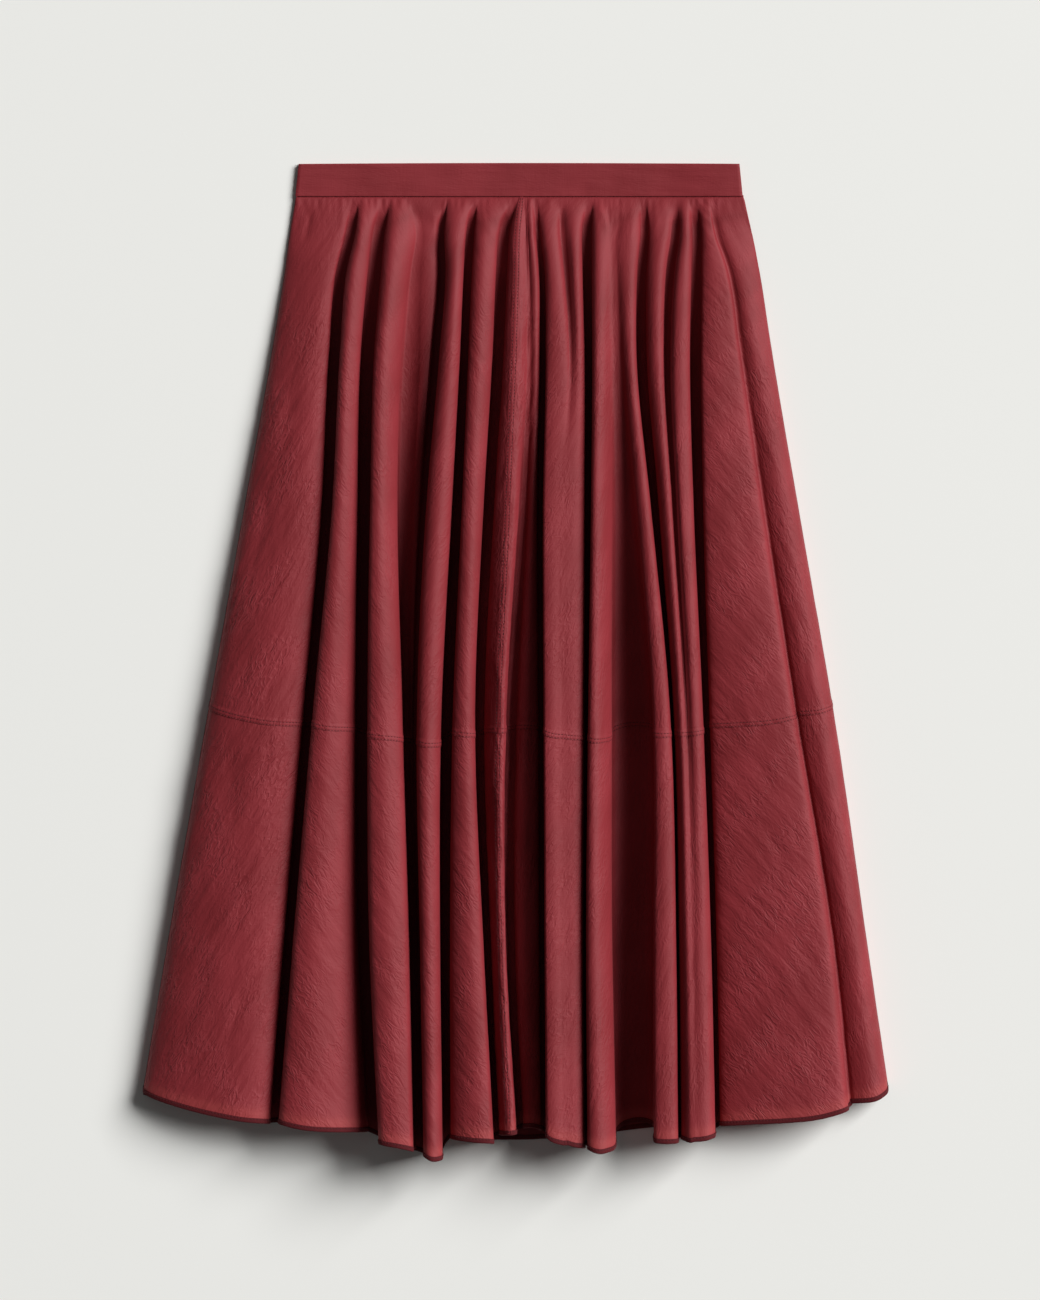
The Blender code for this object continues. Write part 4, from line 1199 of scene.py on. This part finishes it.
    def crinkles(self, stations: Array, arc: Array, drop: Array, tier: Tier
                 ) -> tuple[Array, Array, Array, Array]:
        """Return the crinkles' rise, and the coordinates across and along them.

        Each fold has its own streaks: noise stretched along its lean, folded at 0 so that it
        makes creases, with a finer one over it. Neighbouring folds blend in their valley.

        Args:
            stations: (rows, n) stations.
            arc: distance along each row.
            drop: drop of each point.
            tier: picks the tier's lean and depth.

        Returns:
            The rise, a (2, rows, n, 2) map in millimetres for the even and the odd folds, the
            share of the odd one, and the strength of the finest crinkles.
        """
        k = 0 if tier is Tier.UPPER else 1
        total, odd, strength = np.zeros((3, *drop.shape))
        chart = np.zeros((2, *drop.shape, 2))
        middle = stations[len(stations) // 2]
        last = len(CRINKLES) - 1
        for i, fold in enumerate(CRINKLES):
            foot = FOLD_COLUMNS * i
            start = smooth((stations - (foot - 1)) / self.blend + 0.5) if i else 1.0
            after = foot + FOLD_COLUMNS - 1
            end = smooth((stations - after) / self.blend + 0.5) if i < last else 0.0
            weight = start - end + 0.0 * drop
            if weight.max() < self.least_weight:
                continue
            crest = int(np.argmin(np.abs(middle - (foot + CREST_COLUMN))))
            s = arc - arc[:, crest:crest + 1]
            lean = np.radians(fold.lean[k])
            across = s * np.cos(lean) + drop * np.sin(lean)
            run = s * np.sin(lean) - drop * np.cos(lean)
            seed = self.seed + 7 * i + 300 * k
            coarse = gradient_noise(across / fold.width, run / fold.length, seed)
            fine = gradient_noise(across / (self.fine_size[0] * fold.width),
                                  run / (self.fine_size[1] * fold.length), seed + 1)
            patches = gradient_noise(s / self.patch_size[0], drop / self.patch_size[1], seed + 2)
            patch = self.patch_rise[0] + self.patch_rise[1] * patches
            crease = 1.0 - 2.0 * np.abs(coarse)
            total += weight * fold.depth[k] * patch * (crease + self.fine_rise * fine)
            low, high = self.chart_reach
            reach = (stations >= foot + low) & (stations < foot + high)
            chart[i % 2][reach] = np.stack([across, run], axis=-1)[reach]
            odd += weight * (i % 2)
            begin, growth, most = self.fine_strength
            strength += weight * min(begin + growth * fold.depth[k], most)
        share, top, run = self.below_waist
        return total, chart, odd, strength * (share + (1.0 - share) * smooth((drop - top) / run))

    def creases(self, x: Array, drop: Array) -> Array:
        """Return the main creases' rise: a bell across each line that tapers along it."""
        total = np.zeros_like(x)
        for c in CREASES:
            dx, dy = c.x1 - c.x0, c.drop1 - c.drop0
            length = np.hypot(dx, dy)
            t = ((x - c.x0) * dx + (drop - c.drop0) * dy) / length ** 2
            off = ((x - c.x0) * dy - (drop - c.drop0) * dx) / length
            bend = self.crease_bend * length * np.sin(np.pi * np.clip(t, 0.0, 1.0))
            taper = smooth(t / self.crease_taper) * smooth((1.0 - t) / self.crease_taper)
            total += c.rise * taper * bell((off - bend) / c.width)
        return total

    def puckers(self, x: Array, arc: Array, rows: Array, tier: Tier, seam: Array) -> Array:
        """Return the rise of the puckers at the waist, tier and centre seams."""
        upper = tier is Tier.UPPER
        down = rows[:, None] + 0.0 * arc
        away = self.form.upper_rows - down if upper else down
        at_seam = arc[-1 if upper else 0][None] + 0.0 * arc

        def pulls(pucker: Pucker, place: Array, off: Array, seed: int) -> Array:
            """Return one seam's puckers: noise that fades by e to the power of the distance."""
            noise = gradient_noise(place / pucker.grain[0], off / pucker.grain[1] + pucker.start,
                                   self.seed + seed)
            return pucker.rise * np.exp(-np.abs(off) / pucker.fade) * noise

        total = pulls(self.tier_pucker, at_seam, away, 901)
        total += pulls(self.centre_pucker, down, seam[None] + 0.0 * arc, 902)
        if upper:
            total += smooth(down / self.pucker_start) * pulls(self.waist_pucker, x, down, 900)
        return total

    def seam_relief(self, off: Array) -> Array:
        """Return the rise at off from a felled seam: its lap, with a groove at each stitch row."""
        return self.lapped(off) - self.groove * bell(
            (np.abs(off) - self.stitch_off) / self.groove_half)

    def build(self, half: Half, tier: Tier) -> Panel:
        """Build and dress one panel."""
        upper = tier is Tier.UPPER
        rows, levels, off = self.rows(tier)
        net = self.form.front_net(levels)
        stations, seam = self.stations(half, net)
        section = spline(net, stations)
        x, drop = section[..., 0], section[..., 1]
        points = world(section, self.form.seam_y)
        arc = arc_length(points)
        normal = directions(points)[2]
        upward = np.clip(normal[..., 2], 0, 1)
        rise, chart, odd, strength = self.crinkles(stations, arc, drop, tier)
        start, run = self.edge_calm[0 if upper else 1]
        inside = rows if upper else self.form.lower_rows - rows
        calm = ((1.0 - self.calmer[0] * bell(seam / self.seam_calm)[None])
                * smooth((inside + start) / run)[:, None]
                * (1.0 - self.calmer[1] * bell(off / self.seam_calm))[:, None]
                * (self.wall_share + (1.0 - self.wall_share) * upward))
        rise = rise * calm + self.creases(x, drop) * upward
        rise = rise + self.puckers(x, arc, rows, tier, seam)
        if upper:
            ditch = self.ditch * bell((rows - self.ditch_place) / self.ditch_half)
            rise = rise + (self.seam_relief(off) - ditch)[:, None]
        if half is Half.RIGHT:
            rise = rise + self.seam_relief(seam)[None]
        points = points + normal * rise[..., None]
        points[..., 2] = np.maximum(points[..., 2], self.lowest)
        extra = len(self.turn_degrees)
        pad = ((0, 0), (extra, 0) if half is Half.RIGHT else (0, extra))
        arc, odd, strength = (np.pad(values, pad, "edge") for values in (arc, odd, strength))
        chart = np.pad(chart, ((0, 0), *pad, (0, 0)), "edge")
        cut = np.stack([arc, -np.broadcast_to(drop[:, :1], arc.shape)], axis=-1)
        through = 0.0 * arc
        if not upper:
            fade = smooth((inside - self.hem_light_start) / self.hem_light_run)
            through += (self.hem_light * (1.0 - fade))[:, None]
        points = self.turned_side(points, half)
        obj = add_cloth(f"front_cloth_{tier.value}_{half.value}", points, self.half, self.finish,
                        {"cut": cut, "crinkle": chart[0], "crinkle_odd": chart[1]},
                        {"light_through": through, "odd_fold": odd, "crinkled": strength})
        return Panel(obj, points, rows, np.pad(seam, pad[1], "edge"))

    def turned_side(self, points: Array, half: Half) -> Array:
        """Add the side seam's turn: columns that curl down a quarter ellipse over the back."""
        right = half is Half.RIGHT
        turn = np.radians(self.turn_degrees)
        outward = np.sin(turn) * (-1.0 if right else 1.0)
        curl = np.stack([outward, 0.0 * turn, np.cos(turn) - 1.0], axis=-1) * self.turn_size
        extra = points[:, 0 if right else -1][:, None] + curl[None]
        if right:
            return np.concatenate([extra[:, ::-1], points], axis=1)
        return np.concatenate([points, extra], axis=1)


@dataclass
class BackCloth(TierCloth):
    """The back's two panels, flat on the surface, with low creases that rise from it."""

    upper_runs: tuple = ((-1.6, 10.0, 2.4), (10.0, 441.0, 7.0), (441.0, 452.4, 1.1))
    lower_runs: tuple = ((-4.5, 6.0, 1.5), (6.0, 325.0, 6.5), (325.0, 337.4, 1.6))
    columns: int = 200
    floor: float = 0.25
    inset: float = 0.6          # from the side seams, under the front's turn
    lean: tuple = (0.94, 0.34)  # cosine and sine of the creases' lean
    crease_size: tuple = (9.0, 60.0)
    wave_size: tuple = (60.0, 120.0)
    crease: float = 0.5
    wave: float = 0.3
    most: float = 0.75          # no crease rises further than this
    band_level: float = 1.1     # height at the waistband, between its layers
    band_run: tuple = (2.0, 16.0)   # start and length of the way to it, below the waist seam
    hem_level: float = 0.8      # height inside the hem's binding
    hem_run: tuple = (22.0, 20.0)   # the same, above the binding's upper edge
    seed: int = 70

    def build(self, tier: Tier) -> bpy.types.Object:
        """Build and dress one panel."""
        rows, levels, off = self.rows(tier)
        net = BackForm(self.form, mid=self.floor).net(levels)
        stations = np.linspace(0.0, len(net) - 1, self.columns)[None] + 0.0 * rows[:, None]
        section = spline(net, stations)
        section[:, 0, 0] += self.inset
        section[:, -1, 0] -= self.inset
        x, drop = section[..., 0], section[..., 1]
        cosine, sine = self.lean
        across, run = x * cosine + drop * sine, drop * cosine - x * sine
        streaks = gradient_noise(across / self.crease_size[0], run / self.crease_size[1], self.seed)
        broad = gradient_noise(x / self.wave_size[0], drop / self.wave_size[1], self.seed + 1)
        rise = self.crease * (0.5 - np.abs(streaks)) + self.wave * broad
        rise = np.clip(rise, 0.0, self.most)
        if tier is Tier.UPPER:
            rise = rise + self.lapped(off)[:, None]
            level, (start, run_out) = self.band_level, self.band_run
            settled = 1.0 - smooth((rows - start) / run_out)
        else:
            level, (start, run_out) = self.hem_level, self.hem_run
            settled = smooth((rows - self.form.lower_rows + start) / run_out)
        settled = settled[:, None]
        section[..., 2] += rise * (1.0 - settled) + settled * (level - self.floor)
        points = world(section, self.form.seam_y)
        cut = np.stack([arc_length(points), -drop], axis=-1)
        return add_cloth(f"back_cloth_{tier.value}", points, self.half, self.finish,
                         *one_chart(cut, np.stack([across, run], axis=-1), 1.0))


@dataclass
class HemBinding:
    """A narrow bias binding, folded round the cloth's lower edge."""

    form: SkirtForm
    finish: bpy.types.Material
    half: float = 0.16
    columns: int = 760
    wave: float = 0.14          # ripple of its edge
    wave_mm: float = 9.0
    stitch_place: float = 0.9   # of the row of stitches, down from its upper edge
    stitch_height: float = 0.64
    seed: int = 41
    # Section: place down from the binding's upper edge, and height over the cloth's middle
    section: tuple = ((-0.3, 0.56), (0.5, 0.64), (1.8, 0.66), (3.1, 0.62), (3.66, 0.42),
                      (3.84, 0.0), (3.66, -0.42), (3.1, -0.62), (1.5, -0.64), (-0.3, -0.56))

    def build(self, name: str, net: Array, lift: float) -> tuple[bpy.types.Object, Array, Array]:
        """Build one binding along the lower edge of a net.

        Args:
            name: the object's name.
            net: controls at levels 2 and 3.
            lift: added height.

        Returns:
            The object, and a path along its upper face and the face's normals.
        """
        stations = np.linspace(0.0, len(net) - 1, self.columns)[None] + np.zeros((2, 1))
        edges = world(spline(net, stations), self.form.seam_y)
        edges[..., 2] += lift
        down = unit(edges[1] - edges[0])
        across = unit(np.gradient(edges[0], axis=0))
        normal = unit(np.cross(down, across))
        run = arc_length(edges)[0]
        ripple = self.wave * gradient_noise(run / self.wave_mm, 0.0 * run, self.seed)
        place, height = np.array(self.section).T
        points = (edges[0] + down * (place[:, None, None] + ripple[:, None])
                  + normal * height[:, None, None])
        path = edges[0] + down * self.stitch_place + normal * (self.stitch_height + self.half)
        return add_cloth(name, points, self.half, self.finish), path, normal


@dataclass
class Waistband:
    """A band folded over its top edge, with the skirt's edge sewn between its layers."""

    form: SkirtForm
    finish: bpy.types.Material
    half: float = 0.24
    columns: int = 264
    edge: float = 0.6           # the band's lower edge lies this far above the seam's line
    edge_rows: tuple = (0.0, 0.35, 0.9, 1.6, 2.6, 4.4)
    face_start: float = 7.0
    face_rows: int = 9
    turn_rows: int = 9
    pinch: float = 0.12         # the layers draw together by this share at the lower edge
    pinch_half: float = 0.5
    end_run: float = 1.4        # the layers also close over this length at both ends
    end_open: float = 0.15
    calm: float = 3.0           # the dents stay this far from the band's edges
    dent: float = 0.32
    dent_sizes: tuple = ((46.0, 25.0, 15.0), (17.0, -16.0, 22.0))   # across, slant and height
    dent_shares: tuple = (1.0, 0.5)
    pull: float = 0.16          # short pulls along the seam
    pull_size: tuple = (5.0, 30.0)
    pull_fade: float = 4.0
    most: float = 0.3           # the front face stands out no further than this
    front_cut: float = -2.0     # how much shorter the front half is at its wearer's-left end
    back_cut: float = 7.5       # and the back half, under the front one
    strength: float = 0.3       # of the finest crinkles
    seed: int = 140

    def profile(self) -> tuple[Array, Array]:
        """Return heights and depths from the back's lower edge over the top to the front's."""
        deep = self.form.band_thick / 2 - self.half
        top = self.form.band_height - deep - self.half
        face = np.concatenate([self.edge + np.array(self.edge_rows),
                               np.linspace(self.face_start, top - 2.0, self.face_rows),
                               [top - 0.8]])
        turn = np.radians(np.linspace(-90.0, 90.0, self.turn_rows))
        pinched = 1.0 - self.pinch * bell((face - self.edge) / self.pinch_half)
        height = np.concatenate([face, top + deep * np.cos(turn), face[::-1]])
        depth = np.concatenate([-deep * pinched, deep * np.sin(turn), deep * pinched[::-1]])
        return height, depth

    def build(self, name: str, front: bool) -> bpy.types.Object:
        """Build one half of the band.

        Soft dents, two noise patterns, shape the front face, with pulls that fade upwards.

        Args:
            name: the object's name.
            front: whether it is the front half, which rises over the zip.

        Returns:
            The object.
        """
        height, depth = self.profile()
        h, s = np.meshgrid(height, np.linspace(-1.0, 1.0, self.columns), indexing="ij")
        q = np.broadcast_to(depth[:, None], h.shape)
        half_width = self.form.band_half(h)
        x = s * half_width - (self.front_cut if front else self.back_cut) * (s + 1.0) / 2
        to_end = (1.0 - np.abs(s)) * half_width / self.end_run
        closed = self.end_open + (1.0 - self.end_open) * np.sqrt(
            1.0 - np.clip(1.0 - to_end, 0.0, 1.0) ** 2)
        outer = np.clip(q / q.max(), 0.0, 1.0)
        inside = smooth(h / self.calm) * smooth((self.form.band_height - h) / self.calm)
        dents = sum(share * gradient_noise(x / wide + h / slant, h / high, self.seed + k)
                    for k, (share, (wide, slant, high)) in enumerate(
                        zip(self.dent_shares, self.dent_sizes)))
        pulls = gradient_noise(x / self.pull_size[0], h / self.pull_size[1], self.seed + 2)
        pulls = pulls * np.exp(-np.maximum(h, 0.0) / self.pull_fade)
        z = q * closed + outer * closed * (self.dent * inside * dents + self.pull * pulls)
        z = np.where(q > 0.0, np.minimum(z, q + self.most), z)
        y = self.form.seam_y + h + self.form.band_bow * (1.0 - s ** 2) * h / self.form.band_height
        middle = self.form.band_thick / 2
        if front:
            middle = self.form.front_band_mid + self.form.zip_rise(x)
        points = np.stack([x, y, z + middle], axis=-1)
        cut = np.stack([x, arc_length(points.transpose(1, 0, 2)).T], axis=-1)
        return add_cloth(name, points, self.half, self.finish,
                         *one_chart(cut, np.stack([h * 2.0, x], axis=-1), self.strength))


@dataclass
class Stitching:
    """Rows of lockstitch: each stitch is a short bead of thread that dips in at both ends."""

    finish: bpy.types.Material
    pitch: float = 2.8
    shown: float = 2.25
    radius: float = 0.24
    arch: float = 1.3           # rise of a stitch's middle, in radii
    sunk: float = 0.55          # and how deep its ends lie in the cloth
    taper: tuple = (0.55, 1.0, 1.0, 0.55)
    sides: int = 4

    def build(self, name: str, rows: Sequence[tuple[Array, Array]]) -> bpy.types.Object:
        """Sew rows of stitches.

        Args:
            name: the object's name.
            rows: a path and its normals for each row, in millimetres.

        Returns:
            One object that holds all the stitches.
        """
        paths, sides, lifts = [], [], []
        share = np.linspace(0.0, 1.0, len(self.taper))
        arch = self.radius * (self.arch * np.sin(np.pi * share) - self.sunk)
        for path, normal in rows:
            run = arc_length(path[None])[0]
            count = int((run[-1] - self.shown) / self.pitch)
            at = np.arange(count)[:, None] * self.pitch + self.shown * share
            spot, up = (np.stack([np.interp(at, run, values[:, k]) for k in range(3)], axis=-1)
                        for values in (path, normal))
            up = unit(up)
            ahead = unit(spot[:, -1:] - spot[:, :1]) + 0.0 * spot
            paths.append(spot + up * arch[:, None])
            sides.append(unit(np.cross(ahead, up)))
            lifts.append(up)
        return add_tube(name, np.concatenate(paths), np.concatenate(sides), np.concatenate(lifts),
                        self.radius * np.array(self.taper), self.sides, self.finish)


@dataclass
class SideZip:
    """A closed concealed zip in the wearer's left seam, between the back and the front."""

    form: SkirtForm
    tape_finish: bpy.types.Material
    coil_finish: bpy.types.Material
    outer: float = 7.5          # from the side seam to the tape's outer edge
    width: float = 13.0
    thick: float = 1.0
    half: float = 0.3           # of the woven tape's own thickness
    grid: tuple = (120, 14)     # its rows and columns
    cord: float = 0.10          # rise of the woven cords along its edges
    top: float = -27.0
    step: float = -3.0          # where it steps up between the band's layers
    step_run: float = 9.0
    coil_top: float = -20.0
    coil_end: float = 4.0       # above the tape's lower end
    coil_inward: float = 2.2
    coil_pitch: float = 1.4
    coil_radius: float = 0.55
    coil_shape: tuple = (1.5, 0.0, 0.62)    # it is an ellipse, wide and low
    coil_steps: int = 14        # points of one turn
    filament: float = 0.2

    def line(self, drops: Array, inward: float) -> Array:
        """Return points of the tape's middle height, inward from its outer edge."""
        in_band = 1.0 - smooth((drops - self.step) / self.step_run)
        side = along(LINE_DROPS, LEFT_SIDE_LINE, np.maximum(drops, 0.0))
        band = self.form.band_half(np.maximum(-drops, 0.0))
        x = np.where(drops < 0.0, band, side) - self.outer - inward
        low, high = (under + self.form.gap + self.thick / 2
                     for under in (self.form.wall, self.form.band_thick))
        return np.stack([x, self.form.seam_y - drops, low + (high - low) * in_band], axis=-1)

    def tape(self) -> bpy.types.Object:
        """Build the woven tape, with a raised cord of weave along both its edges."""
        drops = np.linspace(self.top, self.form.zip_length, self.grid[0])
        inward = np.linspace(self.width, 0.0, self.grid[1])
        points = np.stack([self.line(drops, float(w)) for w in inward], axis=1)
        points[..., 2] += self.cord * np.cos(inward / self.width * 2 * np.pi)[None]
        flat = np.stack(np.broadcast_arrays(inward[None], -drops[:, None]), axis=-1)
        return add_cloth("zip_tape_woven", points, self.half, self.tape_finish, {"cut": flat})

    def coil(self) -> bpy.types.Object:
        """Build the coil: a helix round a line near the tape's outer edge."""
        turns = int((self.form.zip_length - self.coil_end - self.coil_top) / self.coil_pitch)
        angle = np.linspace(0.0, 2 * np.pi * turns, self.coil_steps * turns)
        drops = self.coil_top + angle / (2 * np.pi) * self.coil_pitch
        centre = self.line(drops, self.coil_inward)
        centre[:, 2] += self.thick / 2 + self.coil_radius * self.coil_shape[2]
        ring = np.stack([np.cos(angle), 0.0 * angle, np.sin(angle)], axis=-1) * self.coil_shape
        path = centre + self.coil_radius * ring
        ahead = unit(np.gradient(path, axis=0))
        side = unit(np.cross(ahead, np.array([0.0, 1.0, 0.0])))
        lift = unit(np.cross(side, ahead))
        return add_tube("zip_coil", path[None], side[None], lift[None],
                        np.full(len(path), self.filament), 6, self.coil_finish)


@dataclass
class Studio:
    """The paper sweep, one large soft light and the camera above the skirt."""

    paper: bpy.types.Material
    paper_half: float = 4000.0  # its sizes are in millimetres, and the light's in metres
    paper_lines: int = 41
    paper_flat: float = 2600.0
    paper_curve: float = 260.0
    paper_below: float = 0.05
    view_middle: tuple = (0.00366, 0.0094)
    view_height: float = 1.105
    distance: float = 10.0
    sensor: float = 24.0
    key_place: tuple = (30.0, 15.0, 26.0)
    key_size: float = 24.0
    key_power: float = 26200.0
    world_light: float = 0.07

    def floor(self) -> None:
        """Lay the paper: a grid whose far edges curve up by the square of the distance."""
        side = np.linspace(-self.paper_half, self.paper_half, self.paper_lines)
        x, y = np.meshgrid(side, side[::-1])
        far = np.clip((np.hypot(x, y) - self.paper_flat) / self.paper_flat, 0.0, None)
        z = self.paper_curve * far ** 2 - self.paper_below
        add_mesh("paper_sweep", np.stack([x, y, z], axis=-1).reshape(-1, 3),
                          grid_quads(len(side), len(side)), self.paper)

    def key_light(self) -> None:
        """Hang the square soft light that faces the skirt."""
        data = bpy.data.lights.new("key_light", "AREA")
        data.energy = self.key_power
        data.size = self.key_size
        obj = bpy.data.objects.new("key_light", data)
        obj.location = self.key_place
        facing = Vector([-v for v in self.key_place])
        obj.rotation_euler = facing.to_track_quat("-Z", "Y").to_euler()
        bpy.context.scene.collection.objects.link(obj)

    def build(self) -> None:
        """Set up floor, light, world and camera."""
        self.floor()
        self.key_light()
        scene = bpy.context.scene
        scene.world = bpy.data.worlds.new("studio_air")
        scene.world.use_nodes = True
        air = scene.world.node_tree.nodes["Background"]
        air.inputs["Color"].default_value = (1.0, 1.0, 1.0, 1.0)
        air.inputs["Strength"].default_value = self.world_light
        scene.view_settings.view_transform = "Standard"
        data = bpy.data.cameras.new("camera")
        data.sensor_fit = "VERTICAL"
        data.sensor_height = self.sensor
        data.lens = self.sensor * self.distance / self.view_height
        data.clip_end = 4 * self.distance
        camera = bpy.data.objects.new("camera", data)
        camera.location = (*self.view_middle, self.distance)
        scene.collection.objects.link(camera)
        scene.camera = camera


# ---- Putting the skirt together ----

BODY = "skirt"


def declare(obj: bpy.types.Object, held: Held, nodes: Sequence[str]) -> None:
    """Attach a sheet to its body and hide the CAD nodes that it replaces."""
    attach(obj, BODY)
    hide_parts(*nodes)


def add_to(obj: bpy.types.Object) -> None:
    """Attach a piece that replaces no node to its body."""
    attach(obj, BODY)


def tier_rows(panel: Panel, places: Sequence[float], half: float) -> list[tuple[Array, Array]]:
    """Return paths and normals along a panel's rows nearest to some places."""
    normal = directions(panel.points)[2]
    rows = [int(np.argmin(np.abs(panel.rows - place))) for place in places]
    return [(panel.points[row] + normal[row] * half, normal[row]) for row in rows]


def centre_rows(panel: Panel, offs: Sequence[float], half: float) -> list[tuple[Array, Array]]:
    """Return paths and normals down a panel's columns, off millimetres from the centre seam."""
    normal = directions(panel.points)[2]
    columns = [int(np.argmin(np.abs(panel.seam - off))) for off in offs]
    inner = slice(4, -3)
    return [((panel.points[:, column] + normal[:, column] * half)[inner], normal[:, column][inner])
            for column in columns]


def main() -> None:
    """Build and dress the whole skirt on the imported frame."""
    logging.basicConfig(level=logging.INFO, format="%(name)s: %(message)s")
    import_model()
    form = SkirtForm()
    Studio(PaperSweep().material()).build()
    cloth = CrinkledCotton().material()
    trim = BindingCotton().material()
    tape = BindingCotton(name="woven_zip_tape", colour="#4E1A20", pale="#5E242A",
                         thread_mm=0.6).material()
    metal = LacqueredZinc().material()

    back = BackCloth(form, cloth)
    for tier in Tier:
        declare(back.build(tier), Held.LAID, [f"back_{tier.value}"])

    front = FrontCloth(form, cloth)
    panels = {(half, tier): front.build(half, tier) for half in Half for tier in Tier}
    for (half, tier), panel in panels.items():
        declare(panel.obj, Held.FOLDED, [f"front_{tier.value}_{half.value}"])

    binding = HemBinding(form, trim)
    ends = np.array([2.0, 3.0])
    front_hem, hem_path, hem_up = binding.build("hem_binding_front_tape", form.front_net(ends), 0.0)
    back_hem, _, _ = binding.build("hem_binding_back_tape",
                                   BackForm(form).net(ends), (form.binding - form.wall) / 2)
    declare(front_hem, Held.FOLDED, ["hem_binding_front"])
    declare(back_hem, Held.FOLDED, ["hem_binding_back"])

    band = Waistband(form, cloth)
    front_band = band.build("waistband_front_cloth", front=True)
    back_band = band.build("waistband_back_cloth", front=False)
    declare(front_band, Held.FOLDED, ["waistband_front"])
    declare(back_band, Held.FOLDED, ["waistband_back"])

    stitching = Stitching(SewingThread().material())
    offs = (-front.stitch_off, front.stitch_off)
    places = [form.upper_rows + off for off in offs]
    sewn = {
        "tier_seam_stitches": [row for half in Half for row in
                               tier_rows(panels[half, Tier.UPPER], places, front.half)],
        "centre_seam_stitches": [row for tier in Tier for row in
                                 centre_rows(panels[Half.RIGHT, tier], offs, front.half)],
        "hem_stitches": [(hem_path, hem_up)],
    }
    for name, rows in sewn.items():
        add_to(stitching.build(name, rows))

    zip_closure = SideZip(form, tape, ZipCoilNylon().material())
    declare(zip_closure.tape(), Held.LAID, ["zip_tape"])
    add_to(zip_closure.coil())
    for node in ("zip_slider", "zip_pull"):
        materials = bpy.data.objects[node].data.materials
        materials.clear()
        materials.append(metal)


if __name__ == "__main__":
    main()
